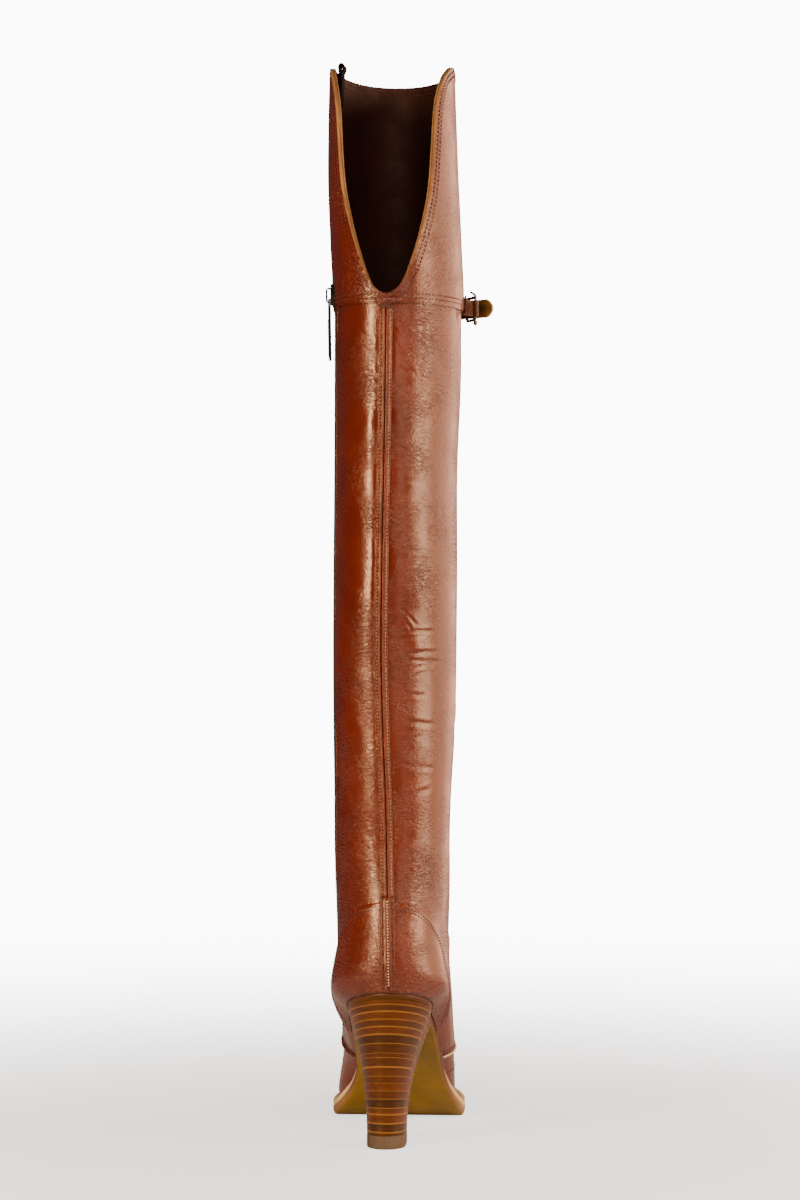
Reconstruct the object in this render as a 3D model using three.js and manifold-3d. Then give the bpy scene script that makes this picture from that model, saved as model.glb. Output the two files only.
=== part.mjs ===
// The right boot of a pair of over-the-knee leather boots with a stacked heel.
// Millimetres. The origin is the middle of the heel's tread on the floor, X points to the
// outer side of the right foot, Y to the toe and Z up.
import * as THREE from "three";
import { mergeVertices } from "three/addons/utils/BufferGeometryUtils.js";
import Module from "manifold-3d";

const wasm = await Module();
wasm.setup();

// Sizes of the last and the leg
const footLength = 228; // heel to toe at the feather edge, seen from above
const heelBack = -31; // the back of the heel seat, behind the middle of the tread
const heelHeight = 96.4; // floor to the feather edge at the back of the heel
const toeSpring = 10;
const seatWidth = 48; // the upper where it meets the heel
const counterWidth = 70; // the widest place of the heel
const waistWidth = 70;
const ballWidth = 76;
const ankleHeight = 195;
const ankleWidth = 70;
const ankleDepth = 88;
const shinHeight = 300;
const shinWidth = 74.3;
const shinDepth = 109;
const calfHeight = 405;
const calfWidth = 74.3;
const calfDepth = 130;
const kneeHeight = 512; // floor to the bottom of the notch, just over the knee seam
const kneeWidth = 76.8;
const kneeDepth = 126;
const thighWidth = 76.5;
const thighDepth = 132;
const bootHeight = 654; // floor to the top edge of the cuff
const topWidth = 72.6;
const topDepth = 144;
const thighShare = 0.514; // where the thigh is measured, as a share of the way from knee to top

// Sizes of the bottom parts
const toplift = 8; // thickness of the heel's rubber tread
const heelTreadWidth = 23.6;
const heelTreadLength = 27;
const heelBreast = 22; // the heel's front face under the seat, ahead of the tread's middle
const outsoleThickness = 5.5;
const seatSoleThickness = 3.6; // the sole pared thin under the heel and the waist
const weltThickness = 3.5;
const weltMargin = 7.2; // how far sole and welt stand out on the forefoot's outer side
const weltMarginInner = 4; // and on its inner side
const seatMargin = 0.7; // and round the heel and the waist
const weltInside = 7; // how far the welt reaches in under the upper
const insoleThickness = 2.6;
const gap = 0.3; // clearance between pieces that touch

// Sizes of the upper and of what is sewn to it
const wall = 2.4; // leather and lining
const vampStep = 0.9; // the leg stands this much proud of the vamp
const facing = 1.3; // thickness of a leather laid over the upper
const kneeLap = 6; // how far the cuff laps down over the leg
const counterHeight = 153;
const seamStripWidth = 9;
const zipSlotWidth = 13.6;
const zipSlotDepth = 1.4;
const zipChainWidth = 5.6;
const zipChainRise = 0.9;
const zipPastKnee = 13; // the zip ends this far over the knee height
const strapWidth = 11.4;
const strapThickness = 2.2;
const strapDrop = 1; // from the bottom of the notch down to the middle of the strap
const tailReach = 62; // the strap's tip, out from the middle of the boot
const buckleHeight = 15.6;
const buckleLength = 15.7;
const buckleWire = 1.7;
const barAway = 10.5; // from the strap's tip back to the buckle's bar
const prongRadius = 0.8;
const chapeWidth = 10;
const chapeThickness = 1.2;
const pullLength = 37;
const pullWidth = 8;
const pullThickness = 1.5;
const loopWidth = 13;
const loopAlong = 0.285; // where the pull loop is, as a share of the foot's length
const tapeThickness = 1;
const loopRise = 5;
const loopLeg = 20;

const sides = 14; // facets along one side of a ring

const thighHeight = kneeHeight + (bootHeight - kneeHeight) * thighShare;
const zipTop = kneeHeight + zipPastKnee;

// Plain helpers
const mix = (a, b, share) => a + (b - a) * share;
const clamp = (value, low, high) => Math.min(high, Math.max(low, value));
const ease = (share) => {
  const s = clamp(share, 0, 1);
  return s * s * (3 - 2 * s);
};
const vec = (x, y, z) => new THREE.Vector3(x, y, z);

// A smooth curve through a table that keeps level stretches level.
function curveOf(rows, along, value) {
  const x = rows.map((row) => row[along]);
  const y = rows.map((row) => row[value]);
  const last = x.length - 1;
  const rise = x.slice(1).map((right, i) => (y[i + 1] - y[i]) / (right - x[i]));
  const slope = x.map((_, i) => {
    if (i === 0) return rise[0];
    if (i === last) return rise[last - 1];
    if (rise[i - 1] * rise[i] <= 0) return 0;
    return (2 * rise[i - 1] * rise[i]) / (rise[i - 1] + rise[i]);
  });
  return (at) => {
    if (at <= x[0]) return y[0] + slope[0] * (at - x[0]);
    if (at >= x[last]) return y[last] + slope[last] * (at - x[last]);
    const i = x.findIndex((right, n) => n > 0 && at <= right) - 1;
    const span = x[i + 1] - x[i];
    const s = (at - x[i]) / span;
    const a = (2 * s ** 3 - 3 * s ** 2 + 1) * y[i];
    const b = (s ** 3 - 2 * s ** 2 + s) * span * slope[i];
    const c = (3 * s ** 2 - 2 * s ** 3) * y[i + 1];
    const d = (s ** 3 - s ** 2) * span * slope[i + 1];
    return a + b + c + d;
  };
}

// The feather edge from the side: the line where upper and sole meet. "along" is a share of
// the foot's length, "rise" of the heel's height and "spring" of the toe spring.
const soleLine = [
  { along: 0.0, rise: 1.0, spring: 0 },
  { along: 0.07, rise: 0.944, spring: 0 },
  { along: 0.158, rise: 0.858, spring: 0 },
  { along: 0.232, rise: 0.767, spring: 0 },
  { along: 0.311, rise: 0.629, spring: 0 },
  { along: 0.399, rise: 0.452, spring: 0 },
  { along: 0.487, rise: 0.275, spring: 0 },
  { along: 0.561, rise: 0.132, spring: 0 },
  { along: 0.618, rise: 0.04, spring: 0 },
  { along: 0.667, rise: 0, spring: 0 },
  { along: 0.785, rise: 0, spring: 0 },
  { along: 0.89, rise: 0, spring: 0.2 },
  { along: 0.96, rise: 0, spring: 0.6 },
  { along: 1.0, rise: 0, spring: 1.0 },
];
const soleRise = curveOf(soleLine, "along", "rise");
const soleSpring = curveOf(soleLine, "along", "spring");
const foreThickness = outsoleThickness + weltThickness;
const shareOfFoot = (y) => (y - heelBack) / footLength;
const feather = (y) => {
  const along = shareOfFoot(y);
  const pitch = soleRise(along) * (heelHeight - foreThickness);
  return foreThickness + pitch + soleSpring(along) * toeSpring;
};

// A table with named columns
const table = (columns, rows) =>
  rows.map((row) => Object.fromEntries(columns.map((name, i) => [name, row[i]])));

// The leg's sections: "middle" and "lean" are where a section's centre lies along Y and X,
// "seam" is where the back seam lies along X and "square" is how much fuller than an ellipse
// the section is at its ends.
const legLine = table(
  ["height", "width", "depth", "middle", "lean", "seam", "square"],
  [
    [ankleHeight, ankleWidth, ankleDepth, 19.5, 2.9, 1.6, 0.05],
    [shinHeight, shinWidth, shinDepth, 17.5, 4.6, -0.8, 0.08],
    [calfHeight, calfWidth, calfDepth, 20, 5.3, 1.2, 0.12],
    [kneeHeight, kneeWidth, kneeDepth, 24.5, 6, 2.2, 0.12],
    [thighHeight, thighWidth, thighDepth, 25, 2.8, 1.2, 0.1],
    [bootHeight, topWidth, topDepth, 26, 2.4, 0.4, 0.08],
  ],
);
const legCurve = (name) => curveOf(legLine, "height", name);
const legWidth = legCurve("width");
const legDepth = legCurve("depth");
const legMiddle = legCurve("middle");
const legLean = legCurve("lean");
const legSeam = legCurve("seam");
const legSquare = legCurve("square");

// The foot's rings, from the feather edge to the ankle. "ahead" and "behind" place a ring's two
// ends as shares of the way from the ankle to the toe tip and to the heel's back, "frontRise"
// and "backRise" as shares of the height up to the ankle. "drape" is how far the ring follows
// the feather edge's line, "swell" goes from the width at the seat to that of the counter,
// "round" is how full the heel's back is, "waist", "ball", "toe" and "tip" are shares of the
// named widths, and "leg" is how far the ring is one of the leg's.
const footRings = table(
  [
    ...["ahead", "frontRise", "behind", "backRise", "drape", "swell"],
    ...["round", "waist", "ball", "toe", "tip", "leg"],
  ],
  [
    [1, 0, 1, 0, 1, 0, 1.57, 0.75, 1.03, 1.2, 1, 0],
    [1.01, 0.023, 1.25, 0.055, 1, 0.52, 1.5, 0.86, 1.065, 1.215, 1.02, 0],
    [1.003, 0.054, 1.5, 0.115, 1, 0.9, 1.42, 0.94, 1.075, 1.2, 1, 0],
    [0.965, 0.088, 1.62, 0.18, 1, 0.95, 1.33, 0.975, 1.04, 1.14, 0.95, 0],
    [0.875, 0.117, 1.58, 0.25, 1, 0.85, 1.28, 0.985, 0.955, 1.01, 0.88, 0],
    [0.74, 0.148, 1.44, 0.33, 1, 0.74, 1.24, 0.985, 0.935, 0.9, 0.8, 0],
    [0.573, 0.197, 1.17, 0.41, 0.95, 0.66, 1.2, 0.975, 0.905, 0.82, 0.74, 0],
    [0.416, 0.27, 0.87, 0.49, 0.85, 0.64, 1.15, 0.965, 0.895, 0.84, 0.76, 0.08],
    [0.281, 0.37, 0.58, 0.57, 0.7, 0.63, 1.1, 0.955, 0.895, 0.86, 0.8, 0.2],
    [0.176, 0.494, 0.33, 0.66, 0.5, 0.66, 1.07, 0.945, 0.895, 0.87, 0.82, 0.4],
    [0.094, 0.636, 0.13, 0.76, 0.3, 0.7, 1.06, 0.95, 0.9, 0.88, 0.85, 0.65],
    [0.037, 0.778, 0.02, 0.865, 0.12, 0.75, 1.05, 0.96, 0.92, 0.9, 0.88, 0.85],
    [0.008, 0.92, 0, 0.97, 0, 0.8, 1.05, 0.97, 0.93, 0.92, 0.9, 1],
  ],
);

// Where the leg's rings lie, as shares of the height from one named section to the next
const legRings = table(
  ["from", "to", "share"],
  [
    [ankleHeight, shinHeight, 0.16],
    [ankleHeight, shinHeight, 0.56],
    [shinHeight, calfHeight, 0],
    [shinHeight, calfHeight, 0.5],
    [calfHeight, kneeHeight, 0],
    [calfHeight, kneeHeight, 0.5],
    [kneeHeight, thighHeight, 0],
    [kneeHeight, thighHeight, 0.5],
    [thighHeight, bootHeight, 0],
    [thighHeight, bootHeight, 0.5],
    [thighHeight, bootHeight, 1],
  ],
);

// The stations along a ring at which its half width is given, as shares of its length.
const stations = [0, 0.08, 0.22, 0.45, 0.68, 0.86, 1];
const roundEnd = (share) => 2 * Math.sqrt(Math.max(0, share * (1 - share)));
const seatStation = 2;

// How much wider the inner side is than the outer side at each station of the feather edge.
const innerBias = [0, 0, 0.02, -0.1, 0.06, 0.05, 0.08];
const biasRings = 9; // the difference fades out over this many rings

const squareShare = [1, 0.8, 0.35, 0, 0, 0.2, 0.4]; // how much of "square" each station takes
function legSection(height) {
  const half = legWidth(height) / 2;
  const square = legSquare(height);
  return {
    backY: legMiddle(height) - legDepth(height) / 2,
    frontY: legMiddle(height) + legDepth(height) / 2,
    backZ: height,
    frontZ: height,
    drape: 0,
    seam: legSeam(height),
    lean: legLean(height),
    swing: legLean(height),
    half: squareShare.map((share) => half * (1 + share * square)),
  };
}

const seatLean = 1.2; // the heel seat's middle lies a little to the outer side
const seatSeam = 3.6;
const toeSwing = -1.4;
const ankle = legSection(ankleHeight);
const toeTip = heelBack + footLength;

function footSection(ring) {
  const heelHalf = mix(seatWidth, counterWidth, ring.swell) / 2;
  const heelFull = heelHalf / roundEnd(stations[seatStation]);
  const foot = [
    heelFull * ring.round,
    heelFull * (1 + 0.76 * (ring.round - 1)),
    heelFull,
    (ring.waist * waistWidth) / 2,
    (ring.ball * ballWidth) / 2,
    (ring.toe * ballWidth) / 2,
    (ring.tip * ballWidth) / 2,
  ];
  const tip = feather(toeTip);
  return {
    backY: mix(ankle.backY, heelBack, ring.behind),
    frontY: mix(ankle.frontY, toeTip, ring.ahead),
    backZ: mix(heelHeight, ankleHeight, ring.backRise),
    frontZ: mix(tip, ankleHeight, ring.frontRise),
    drape: ring.drape,
    seam: mix(seatSeam, ankle.seam, ease(ring.backRise)),
    lean: mix(seatLean, ankle.lean, ease(ring.backRise)),
    swing: mix(toeSwing, ankle.swing, ease(ring.frontRise)),
    half: foot.map((value, i) => mix(value, ankle.half[i], ring.leg)),
  };
}

const sections = [
  ...footRings.map(footSection),
  ...legRings.map((row) => legSection(mix(row.from, row.to, row.share))),
];
const lastRing = sections.length - 1;

// A value between four neighbouring rows, on a smooth curve through the middle two.
function between(p0, p1, p2, p3, s) {
  const a = 2 * p1;
  const b = (p2 - p0) * s;
  const c = (2 * p0 - 5 * p1 + 4 * p2 - p3) * s ** 2;
  const d = (3 * p1 - p0 - 3 * p2 + p3) * s ** 3;
  return (a + b + c + d) / 2;
}

// The section at a level, a number from 0 at the feather edge to lastRing at the top.
function sectionAt(level) {
  const at = clamp(level, 0, lastRing);
  const i = Math.min(Math.floor(at), lastRing - 1);
  const s = at - i;
  const rows = [i - 1, i, i + 1, i + 2].map((n) => sections[clamp(n, 0, lastRing)]);
  const blend = (pick) => between(...rows.map(pick), s);
  const result = { half: stations.map((_, n) => blend((row) => row.half[n])) };
  for (const name of ["backY", "frontY", "backZ", "frontZ", "drape", "seam", "lean", "swing"]) {
    result[name] = blend((row) => row[name]);
  }
  return result;
}

// A point of the upper's outer skin. "turn" goes from 0 at the back seam to 1 at the front
// along the outer side, and to -1 at the front along the inner side.
function skin(level, turn) {
  let bend = turn;
  if (bend > 1) bend -= 2;
  if (bend < -1) bend += 2;
  const ring = sectionAt(level);
  const along = (1 - Math.cos(Math.abs(bend) * Math.PI)) / 2;
  const y = mix(ring.backY, ring.frontY, along);
  const chord = mix(ring.backZ, ring.frontZ, along);
  const lift = mix(ring.backZ - feather(ring.backY), ring.frontZ - feather(ring.frontY), along);
  const z = mix(chord, feather(y) + lift, ring.drape);
  const fade = ease(1 - level / biasRings);
  const side = bend < 0 ? 1 : -1;
  const wide = (at, n) => ({ at, full: ring.half[n] * (1 + side * fade * innerBias[n]) });
  const full = curveOf(stations.map(wide), "at", "full");
  const half = Math.sin(Math.abs(bend) * Math.PI) * full(along);
  const end = along < 0.5 ? ring.seam : ring.swing;
  const x = ring.lean + (end - ring.lean) * (2 * along - 1) ** 2;
  return vec(x + (bend < 0 ? -half : half), y, z);
}

// The skin's outward normal, and the skin moved out along it.
function outward(level, turn) {
  const below = skin(Math.max(0, level - 0.05), turn);
  const above = skin(Math.min(lastRing, level + 0.05), turn);
  const around = skin(level, turn + 0.01).sub(skin(level, turn - 0.01));
  return around.cross(above.sub(below)).normalize();
}
const proud = (level, turn, rise) => skin(level, turn).addScaledVector(outward(level, turn), rise);

// The level at which the skin meets a line given as a height for each Y, and the turn at which
// a ring meets a given Y on the inner or the outer side.
function levelWhere(turn, line, low = 0, high = lastRing) {
  let [a, b] = [low, high];
  for (let i = 0; i < 30; i++) {
    const middle = (a + b) / 2;
    const point = skin(middle, turn);
    if (point.z < line(point.y)) a = middle;
    else b = middle;
  }
  return (a + b) / 2;
}
function turnWhere(level, y, side) {
  let [a, b] = [0, 1];
  for (let i = 0; i < 30; i++) {
    const middle = (a + b) / 2;
    if (skin(level, side * middle).y < y) a = middle;
    else b = middle;
  }
  return (side * (a + b)) / 2;
}
const turnFor = (level, turn, length) => {
  const step = 0.01;
  return (length * 2 * step) / skin(level, turn + step).distanceTo(skin(level, turn - step));
};

// Closed bodies from grids of points
function bodyOf(points, faces) {
  const geometry = new THREE.BufferGeometry();
  const flat = points.flatMap((p) => [p.x, p.y, p.z]);
  geometry.setAttribute("position", new THREE.BufferAttribute(new Float32Array(flat), 3));
  geometry.setIndex(faces.filter(([a, b, c]) => a !== b && b !== c && c !== a).flat());
  return solidOf(geometry);
}

function solidOf(geometry) {
  const bare = geometry.clone();
  bare.deleteAttribute("normal");
  bare.deleteAttribute("uv");
  const merged = mergeVertices(bare, 1e-4);
  const triVerts = new Uint32Array(merged.index.array);
  const vertProperties = merged.attributes.position.array;
  const made = new wasm.Manifold(new wasm.Mesh({ numProp: 3, vertProperties, triVerts }));
  if (made.volume() > 0) return made;
  for (let i = 0; i < triVerts.length; i += 3) {
    [triVerts[i + 1], triVerts[i + 2]] = [triVerts[i + 2], triVerts[i + 1]];
  }
  return new wasm.Manifold(new wasm.Mesh({ numProp: 3, vertProperties, triVerts }));
}

// Cuts between two nearly equal forms leave crumbs without volume: the piece is the large body.
function wholeOf(solid) {
  return solid.decompose().reduce((large, body) => (body.volume() > large.volume() ? body : large));
}

function geometryOf(solid) {
  const mesh = solid.getMesh();
  const cut = new THREE.BufferGeometry();
  cut.setAttribute("position", new THREE.BufferAttribute(new Float32Array(mesh.vertProperties), 3));
  cut.setIndex(new THREE.BufferAttribute(new Uint32Array(mesh.triVerts), 1));
  const geometry = mergeVertices(cut, 0.004);
  const old = geometry.index.array;
  const index = [];
  for (let i = 0; i < old.length; i += 3) {
    const [a, b, c] = [old[i], old[i + 1], old[i + 2]];
    if (a !== b && b !== c && c !== a) index.push(a, b, c);
  }
  geometry.setIndex(index);
  geometry.computeVertexNormals();
  return geometry;
}

// Rings of points, each a loop from the back by the outer side to the front and back by the
// inner side, joined up and closed at both ends by strips from side to side.
function loft(rings) {
  const count = rings[0].length;
  const faces = [];
  for (let r = 0; r < rings.length - 1; r++) {
    for (let i = 0; i < count; i++) {
      const [a, b] = [r * count + i, r * count + ((i + 1) % count)];
      faces.push([a, b, b + count], [a, b + count, a + count]);
    }
  }
  const top = (rings.length - 1) * count;
  for (let i = 0; i < count / 2; i++) {
    const [outer, outerNext] = [i, i + 1];
    const [inner, innerNext] = [(count - i) % count, count - i - 1];
    faces.push([outer, inner, innerNext], [outer, innerNext, outerNext]);
    faces.push([top + outer, top + innerNext, top + inner]);
    faces.push([top + outer, top + outerNext, top + innerNext]);
  }
  return bodyOf(rings.flat(), faces);
}

// A slab from two faces of one grid: face(u, v, 0) is its back and face(u, v, 1) its front.
function slab(face, across, along) {
  const row = across + 1;
  const layer = row * (along + 1);
  const points = [];
  for (const depth of [0, 1]) {
    for (let j = 0; j <= along; j++) {
      for (let i = 0; i <= across; i++) points.push(face(i / across, j / along, depth));
    }
  }
  const faces = [];
  const quad = (a, b, c, d) => faces.push([a, b, c], [a, c, d]);
  for (let j = 0; j < along; j++) {
    for (let i = 0; i < across; i++) {
      const a = j * row + i;
      quad(layer + a, layer + a + 1, layer + a + row + 1, layer + a + row);
      quad(a, a + row, a + row + 1, a + 1);
    }
  }
  for (let i = 0; i < across; i++) {
    const b = along * row + i;
    quad(i, i + 1, layer + i + 1, layer + i);
    quad(b + 1, b, layer + b, layer + b + 1);
  }
  for (let j = 0; j < along; j++) {
    const [a, b] = [j * row, j * row + across];
    quad(a + row, a, layer + a, layer + a + row);
    quad(b, b + row, layer + b + row, layer + b);
  }
  return bodyOf(points, faces);
}

// A side view outline, given as [y, z] pairs, drawn out across the whole boot.
function sideCut(pairs) {
  const shape = new THREE.Shape(pairs.map(([y, z]) => new THREE.Vector2(y, z)));
  const reach = 2 * footLength;
  const cut = new THREE.ExtrudeGeometry(shape, { depth: reach, bevelEnabled: false });
  cut.translate(0, 0, -reach / 2);
  cut.applyMatrix4(new THREE.Matrix4().makeBasis(vec(0, 1, 0), vec(0, 0, 1), vec(1, 0, 0)));
  return solidOf(cut);
}

// Everything ahead of a line across the foot, and everything over a height
const farOut = 90; // how far a cutting box runs past the boot
function aheadOf(start) {
  return sideCut([
    [start, -farOut],
    [toeTip + farOut, -farOut],
    [toeTip + farOut, heelHeight + farOut],
    [start, heelHeight + farOut],
  ]);
}
function over(height) {
  return sideCut([
    [heelBack - farOut, height],
    [toeTip + farOut, height],
    [toeTip + farOut, bootHeight + farOut],
    [heelBack - farOut, bootHeight + farOut],
  ]);
}

// The upper's forms
const ringTurns = [];
for (let i = 0; i < 2 * sides; i++) ringTurns.push(i <= sides ? i / sides : i / sides - 2);
const overshoot = 12;
const halfLevels = [];
for (let level = 0; level < 7; level += 0.5) halfLevels.push(level);
for (let level = 7; level <= lastRing; level++) halfLevels.push(level);

// The whole boot form at a distance from the skin, run on past the feather edge and, if asked,
// past the top edge.
function form(rise, pastTop, fromLevel = 0) {
  const levels = halfLevels.filter((level) => level >= fromLevel);
  const rings = levels.map((level) => ringTurns.map((turn) => proud(level, turn, rise)));
  const shifted = (ring, drop) => ring.map((p) => vec(p.x, p.y, p.z + drop));
  if (fromLevel === 0) rings.unshift(shifted(rings[0], -overshoot));
  if (pastTop) rings.push(shifted(rings[rings.length - 1], overshoot));
  return loft(rings);
}

// A layer between two side view lines, across the whole boot. Every layer bends at the same
// stations, so that neighbours keep their clearance.
const layerSteps = 40;
const layerEnd = 20; // how far a layer runs on past heel and toe
function layer(bottom, top) {
  const stationsY = [];
  for (let i = 0; i <= layerSteps; i++) {
    stationsY.push(mix(heelBack - layerEnd, toeTip + layerEnd, i / layerSteps));
  }
  const lower = stationsY.map((y) => [y, bottom(y)]);
  const upper = stationsY.map((y) => [y, top(y)]).reverse();
  return sideCut([...lower, ...upper]);
}
const underFeather = () => layer(() => -3 * overshoot, (y) => feather(y) + gap);

// The notch at the back of the cuff: "rise" is a share of the height from its bottom to the
// top edge, and "turn" how far its edge is from the back seam.
const notchLine = [
  { rise: 0, turn: 0.012 },
  { rise: 0.012, turn: 0.036 },
  { rise: 0.035, turn: 0.062 },
  { rise: 0.155, turn: 0.119 },
  { rise: 0.289, turn: 0.168 },
  { rise: 0.479, turn: 0.221 },
  { rise: 0.648, turn: 0.246 },
  { rise: 0.782, turn: 0.267 },
  { rise: 0.866, turn: 0.297 },
  { rise: 0.93, turn: 0.339 },
  { rise: 0.972, turn: 0.395 },
  { rise: 1, turn: 0.455 },
];
const notchTurn = curveOf(notchLine, "rise", "turn");
const notchRows = 18;
function notchCut() {
  const clear = 9;
  return slab(
    (u, v, depth) => {
      const rise = (1 - Math.cos(Math.PI * Math.min(1, (v * (notchRows + 1)) / notchRows))) / 2;
      const height = mix(kneeHeight, bootHeight, rise);
      const level = levelWhere(0, () => height);
      const point = proud(level, mix(-1, 1, u) * notchTurn(rise), mix(-clear, clear, depth));
      return v === 1 ? vec(point.x, point.y, point.z + overshoot) : point;
    },
    10,
    notchRows + 1,
  );
}

// The zip runs up the inner side from the waist to just over the knee seam.
const zipLine = [
  { height: 0, y: 0.31 },
  { height: 0.13, y: 0.245 },
  { height: 0.27, y: 0.18 },
  { height: 0.5, y: 0.14 },
  { height: 0.8, y: 0.125 },
  { height: 1, y: 0.13 },
];
const zipShare = curveOf(zipLine, "height", "y");
const zipFoot = feather(heelBack + zipLine[0].y * footLength) + 8;
const zipY = (share) => heelBack + zipShare(share) * footLength;
function zipPlace(share) {
  const height = mix(zipFoot, zipTop, share);
  let turn = -0.4;
  let level = 0;
  for (let i = 0; i < 6; i++) {
    level = levelWhere(turn, () => height);
    turn = turnWhere(level, zipY(share), -1);
  }
  return { level, turn };
}
const zipRows = 22;
function zipSlab(width, trim, low, high, across) {
  const share = trim / (zipTop - zipFoot);
  const rows = [];
  for (let i = 0; i <= zipRows; i++) rows.push(zipPlace(mix(share, 1 - share, i / zipRows)));
  return slab(
    (u, v, depth) => {
      const { level, turn } = rows[Math.round(v * zipRows)];
      const side = turnFor(level, turn, width * (u - 0.5));
      return proud(level, turn + side, depth ? high(u) : low);
    },
    across,
    zipRows,
  );
}

const outerForm = form(0, false);
const clearForm = form(gap, true); // what lies on the upper is cut by this
const facedForm = form(2 * gap + facing, true); // and what lies on a facing by this
const sunk = -2; // an overlay starts this deep, before it is cut
const zipSlot = zipSlab(zipSlotWidth, 0, -zipSlotDepth, () => 4, 6);
const notch = notchCut();

// The upper: vamp and leg in one hollow wall, open at the cuff, the notch and underneath.
// The leg's edge steps down to the vamp along this line, seen from the side: "along" is a
// share of the foot's length and "rise" of the ankle's height.
const vampLine = table(
  ["along", "rise"],
  [
    [0.393, 0.2],
    [0.408, 0.27],
    [0.445, 0.328],
    [0.504, 0.379],
    [0.561, 0.42],
    [0.601, 0.472],
    [0.627, 0.564],
  ],
);
function makeUpper() {
  const edge = vampLine.map(({ along, rise }) => [
    heelBack + along * footLength,
    rise * ankleHeight,
  ]);
  const [startY] = edge[0];
  const [, endZ] = edge[edge.length - 1];
  const [low, ahead] = [-3 * overshoot, toeTip + 3 * overshoot];
  const front = sideCut([[startY, low], ...edge, [ahead, endZ], [ahead, low]]);
  const peel = outerForm.subtract(form(-vampStep, true)).intersect(front);
  const walls = outerForm.subtract(form(-wall, true)).subtract(underFeather());
  return walls.subtract(peel).subtract(notch).subtract(zipSlot);
}

// The cuff: a facing over the upper from the knee seam to the top, with the same notch
function makeCuff() {
  const band = form(gap + facing, false).intersect(over(kneeHeight - kneeLap));
  return band.subtract(clearForm).subtract(notch).subtract(zipSlot);
}

// The heel counter: its upper edge seen from the side. "along" is a share of the foot's length
// and "rise" of the counter's height over the feather edge.
const counterLine = [
  { along: -0.03, rise: 1.0 },
  { along: -0.01, rise: 0.985 },
  { along: 0.013, rise: 0.94 },
  { along: 0.057, rise: 0.77 },
  { along: 0.092, rise: 0.6 },
  { along: 0.136, rise: 0.37 },
  { along: 0.18, rise: 0.14 },
  { along: 0.254, rise: -0.21 },
  { along: 0.33, rise: -0.6 },
];
const counterRise = curveOf(counterLine, "along", "rise");
const counterEdge = (y) => mix(heelHeight, counterHeight, counterRise(shareOfFoot(y)));
const counterTurn = 0.375;
function counterSlab(high) {
  return slab(
    (u, v, depth) => {
      const turn = mix(-counterTurn, counterTurn, u);
      const bottom = levelWhere(turn, (y) => feather(y) + 3 * gap);
      const top = Math.max(levelWhere(turn, counterEdge), bottom + 0.3);
      return proud(mix(bottom, top, v), turn, depth ? high : sunk);
    },
    22,
    6,
  );
}
const makeCounter = () => counterSlab(gap + facing).subtract(clearForm);

// The raised back seam, from the notch down over the counter to the heel. Its two ridges
// stand beside a sunk middle line.
function makeBackSeam() {
  const bottom = levelWhere(0, (y) => feather(y) + 4 * gap);
  const top = levelWhere(0, () => kneeHeight - kneeLap - 2 * gap);
  const edge = levelWhere(0, counterEdge);
  const levels = [bottom, 0.8, 2, 3.5, 5, edge - 1, edge + 0.04, edge + 0.5];
  for (let level = Math.ceil(edge + 1); level < top; level++) levels.push(level);
  levels.push(top);
  const relief = [0.3, 0.8, 0.95, 0.4, 0.95, 0.8, 0.3];
  const across = relief.length - 1;
  return slab(
    (u, v, depth) => {
      const level = levels[Math.round(v * (levels.length - 1))];
      const over = level < edge + 0.2 ? facing + gap : 0;
      const side = turnFor(level, 0, seamStripWidth * (u - 0.5));
      return proud(level, side, depth ? gap + over + relief[Math.round(u * across)] : sunk);
    },
    across,
    levels.length - 1,
  )
    .subtract(clearForm)
    .subtract(counterSlab(2 * gap + facing));
}

// The bottom's outline: the feather edge moved out by a margin, as pairs of points, one on
// each side, from the back to the front.
const marginLine = [
  { along: 0, margin: 0 },
  { along: 0.42, margin: 0 },
  { along: 0.52, margin: 0.3 },
  { along: 0.64, margin: 1 },
  { along: 1, margin: 1 },
];
const marginShare = curveOf(marginLine, "along", "margin");
const outlineSteps = 26;
function outlinePoint(turn, out) {
  const step = 0.004;
  const here = skin(0, turn);
  const ahead = skin(0, turn + step).sub(skin(0, turn - step));
  const side = new THREE.Vector2(ahead.y, -ahead.x).normalize();
  return vec(here.x + side.x * out, here.y + side.y * out, 0);
}
const soleMargin = (turn) => {
  const along = shareOfFoot(skin(0, turn).y);
  const toInner = 0.5 - 0.5 * Math.sin(turn * Math.PI);
  const fore = mix(weltMargin, weltMarginInner, toInner);
  return mix(seatMargin, fore, clamp(marginShare(along), 0, 1));
};
function outline(marginOf) {
  const loop = [];
  for (let i = 0; i < 2 * outlineSteps; i++) {
    const turn = i <= outlineSteps ? i / outlineSteps : i / outlineSteps - 2;
    loop.push(outlinePoint(turn, marginOf(turn)));
  }
  return loop;
}
function plate(loop, bottom, top) {
  const ends = [-3 * overshoot, 2 * heelHeight];
  const prism = loft(ends.map((height) => loop.map((p) => vec(p.x, p.y, height))));
  return prism.intersect(layer(bottom, top));
}

// How thick the sole is along the foot: pared at the seat and the waist
const thicknessShare = curveOf(
  [
    { along: 0, share: 0 },
    { along: 0.42, share: 0 },
    { along: 0.6, share: 1 },
    { along: 1, share: 1 },
  ],
  "along",
  "share",
);
const foreShare = (y) => clamp(thicknessShare(shareOfFoot(y)), 0, 1);
const soleTop = (y) => feather(y) - weltThickness * foreShare(y);
const soleBottom = (y) => soleTop(y) - mix(seatSoleThickness, outsoleThickness, foreShare(y));
const makeOutsole = () => plate(outline(soleMargin), soleBottom, soleTop);

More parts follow.
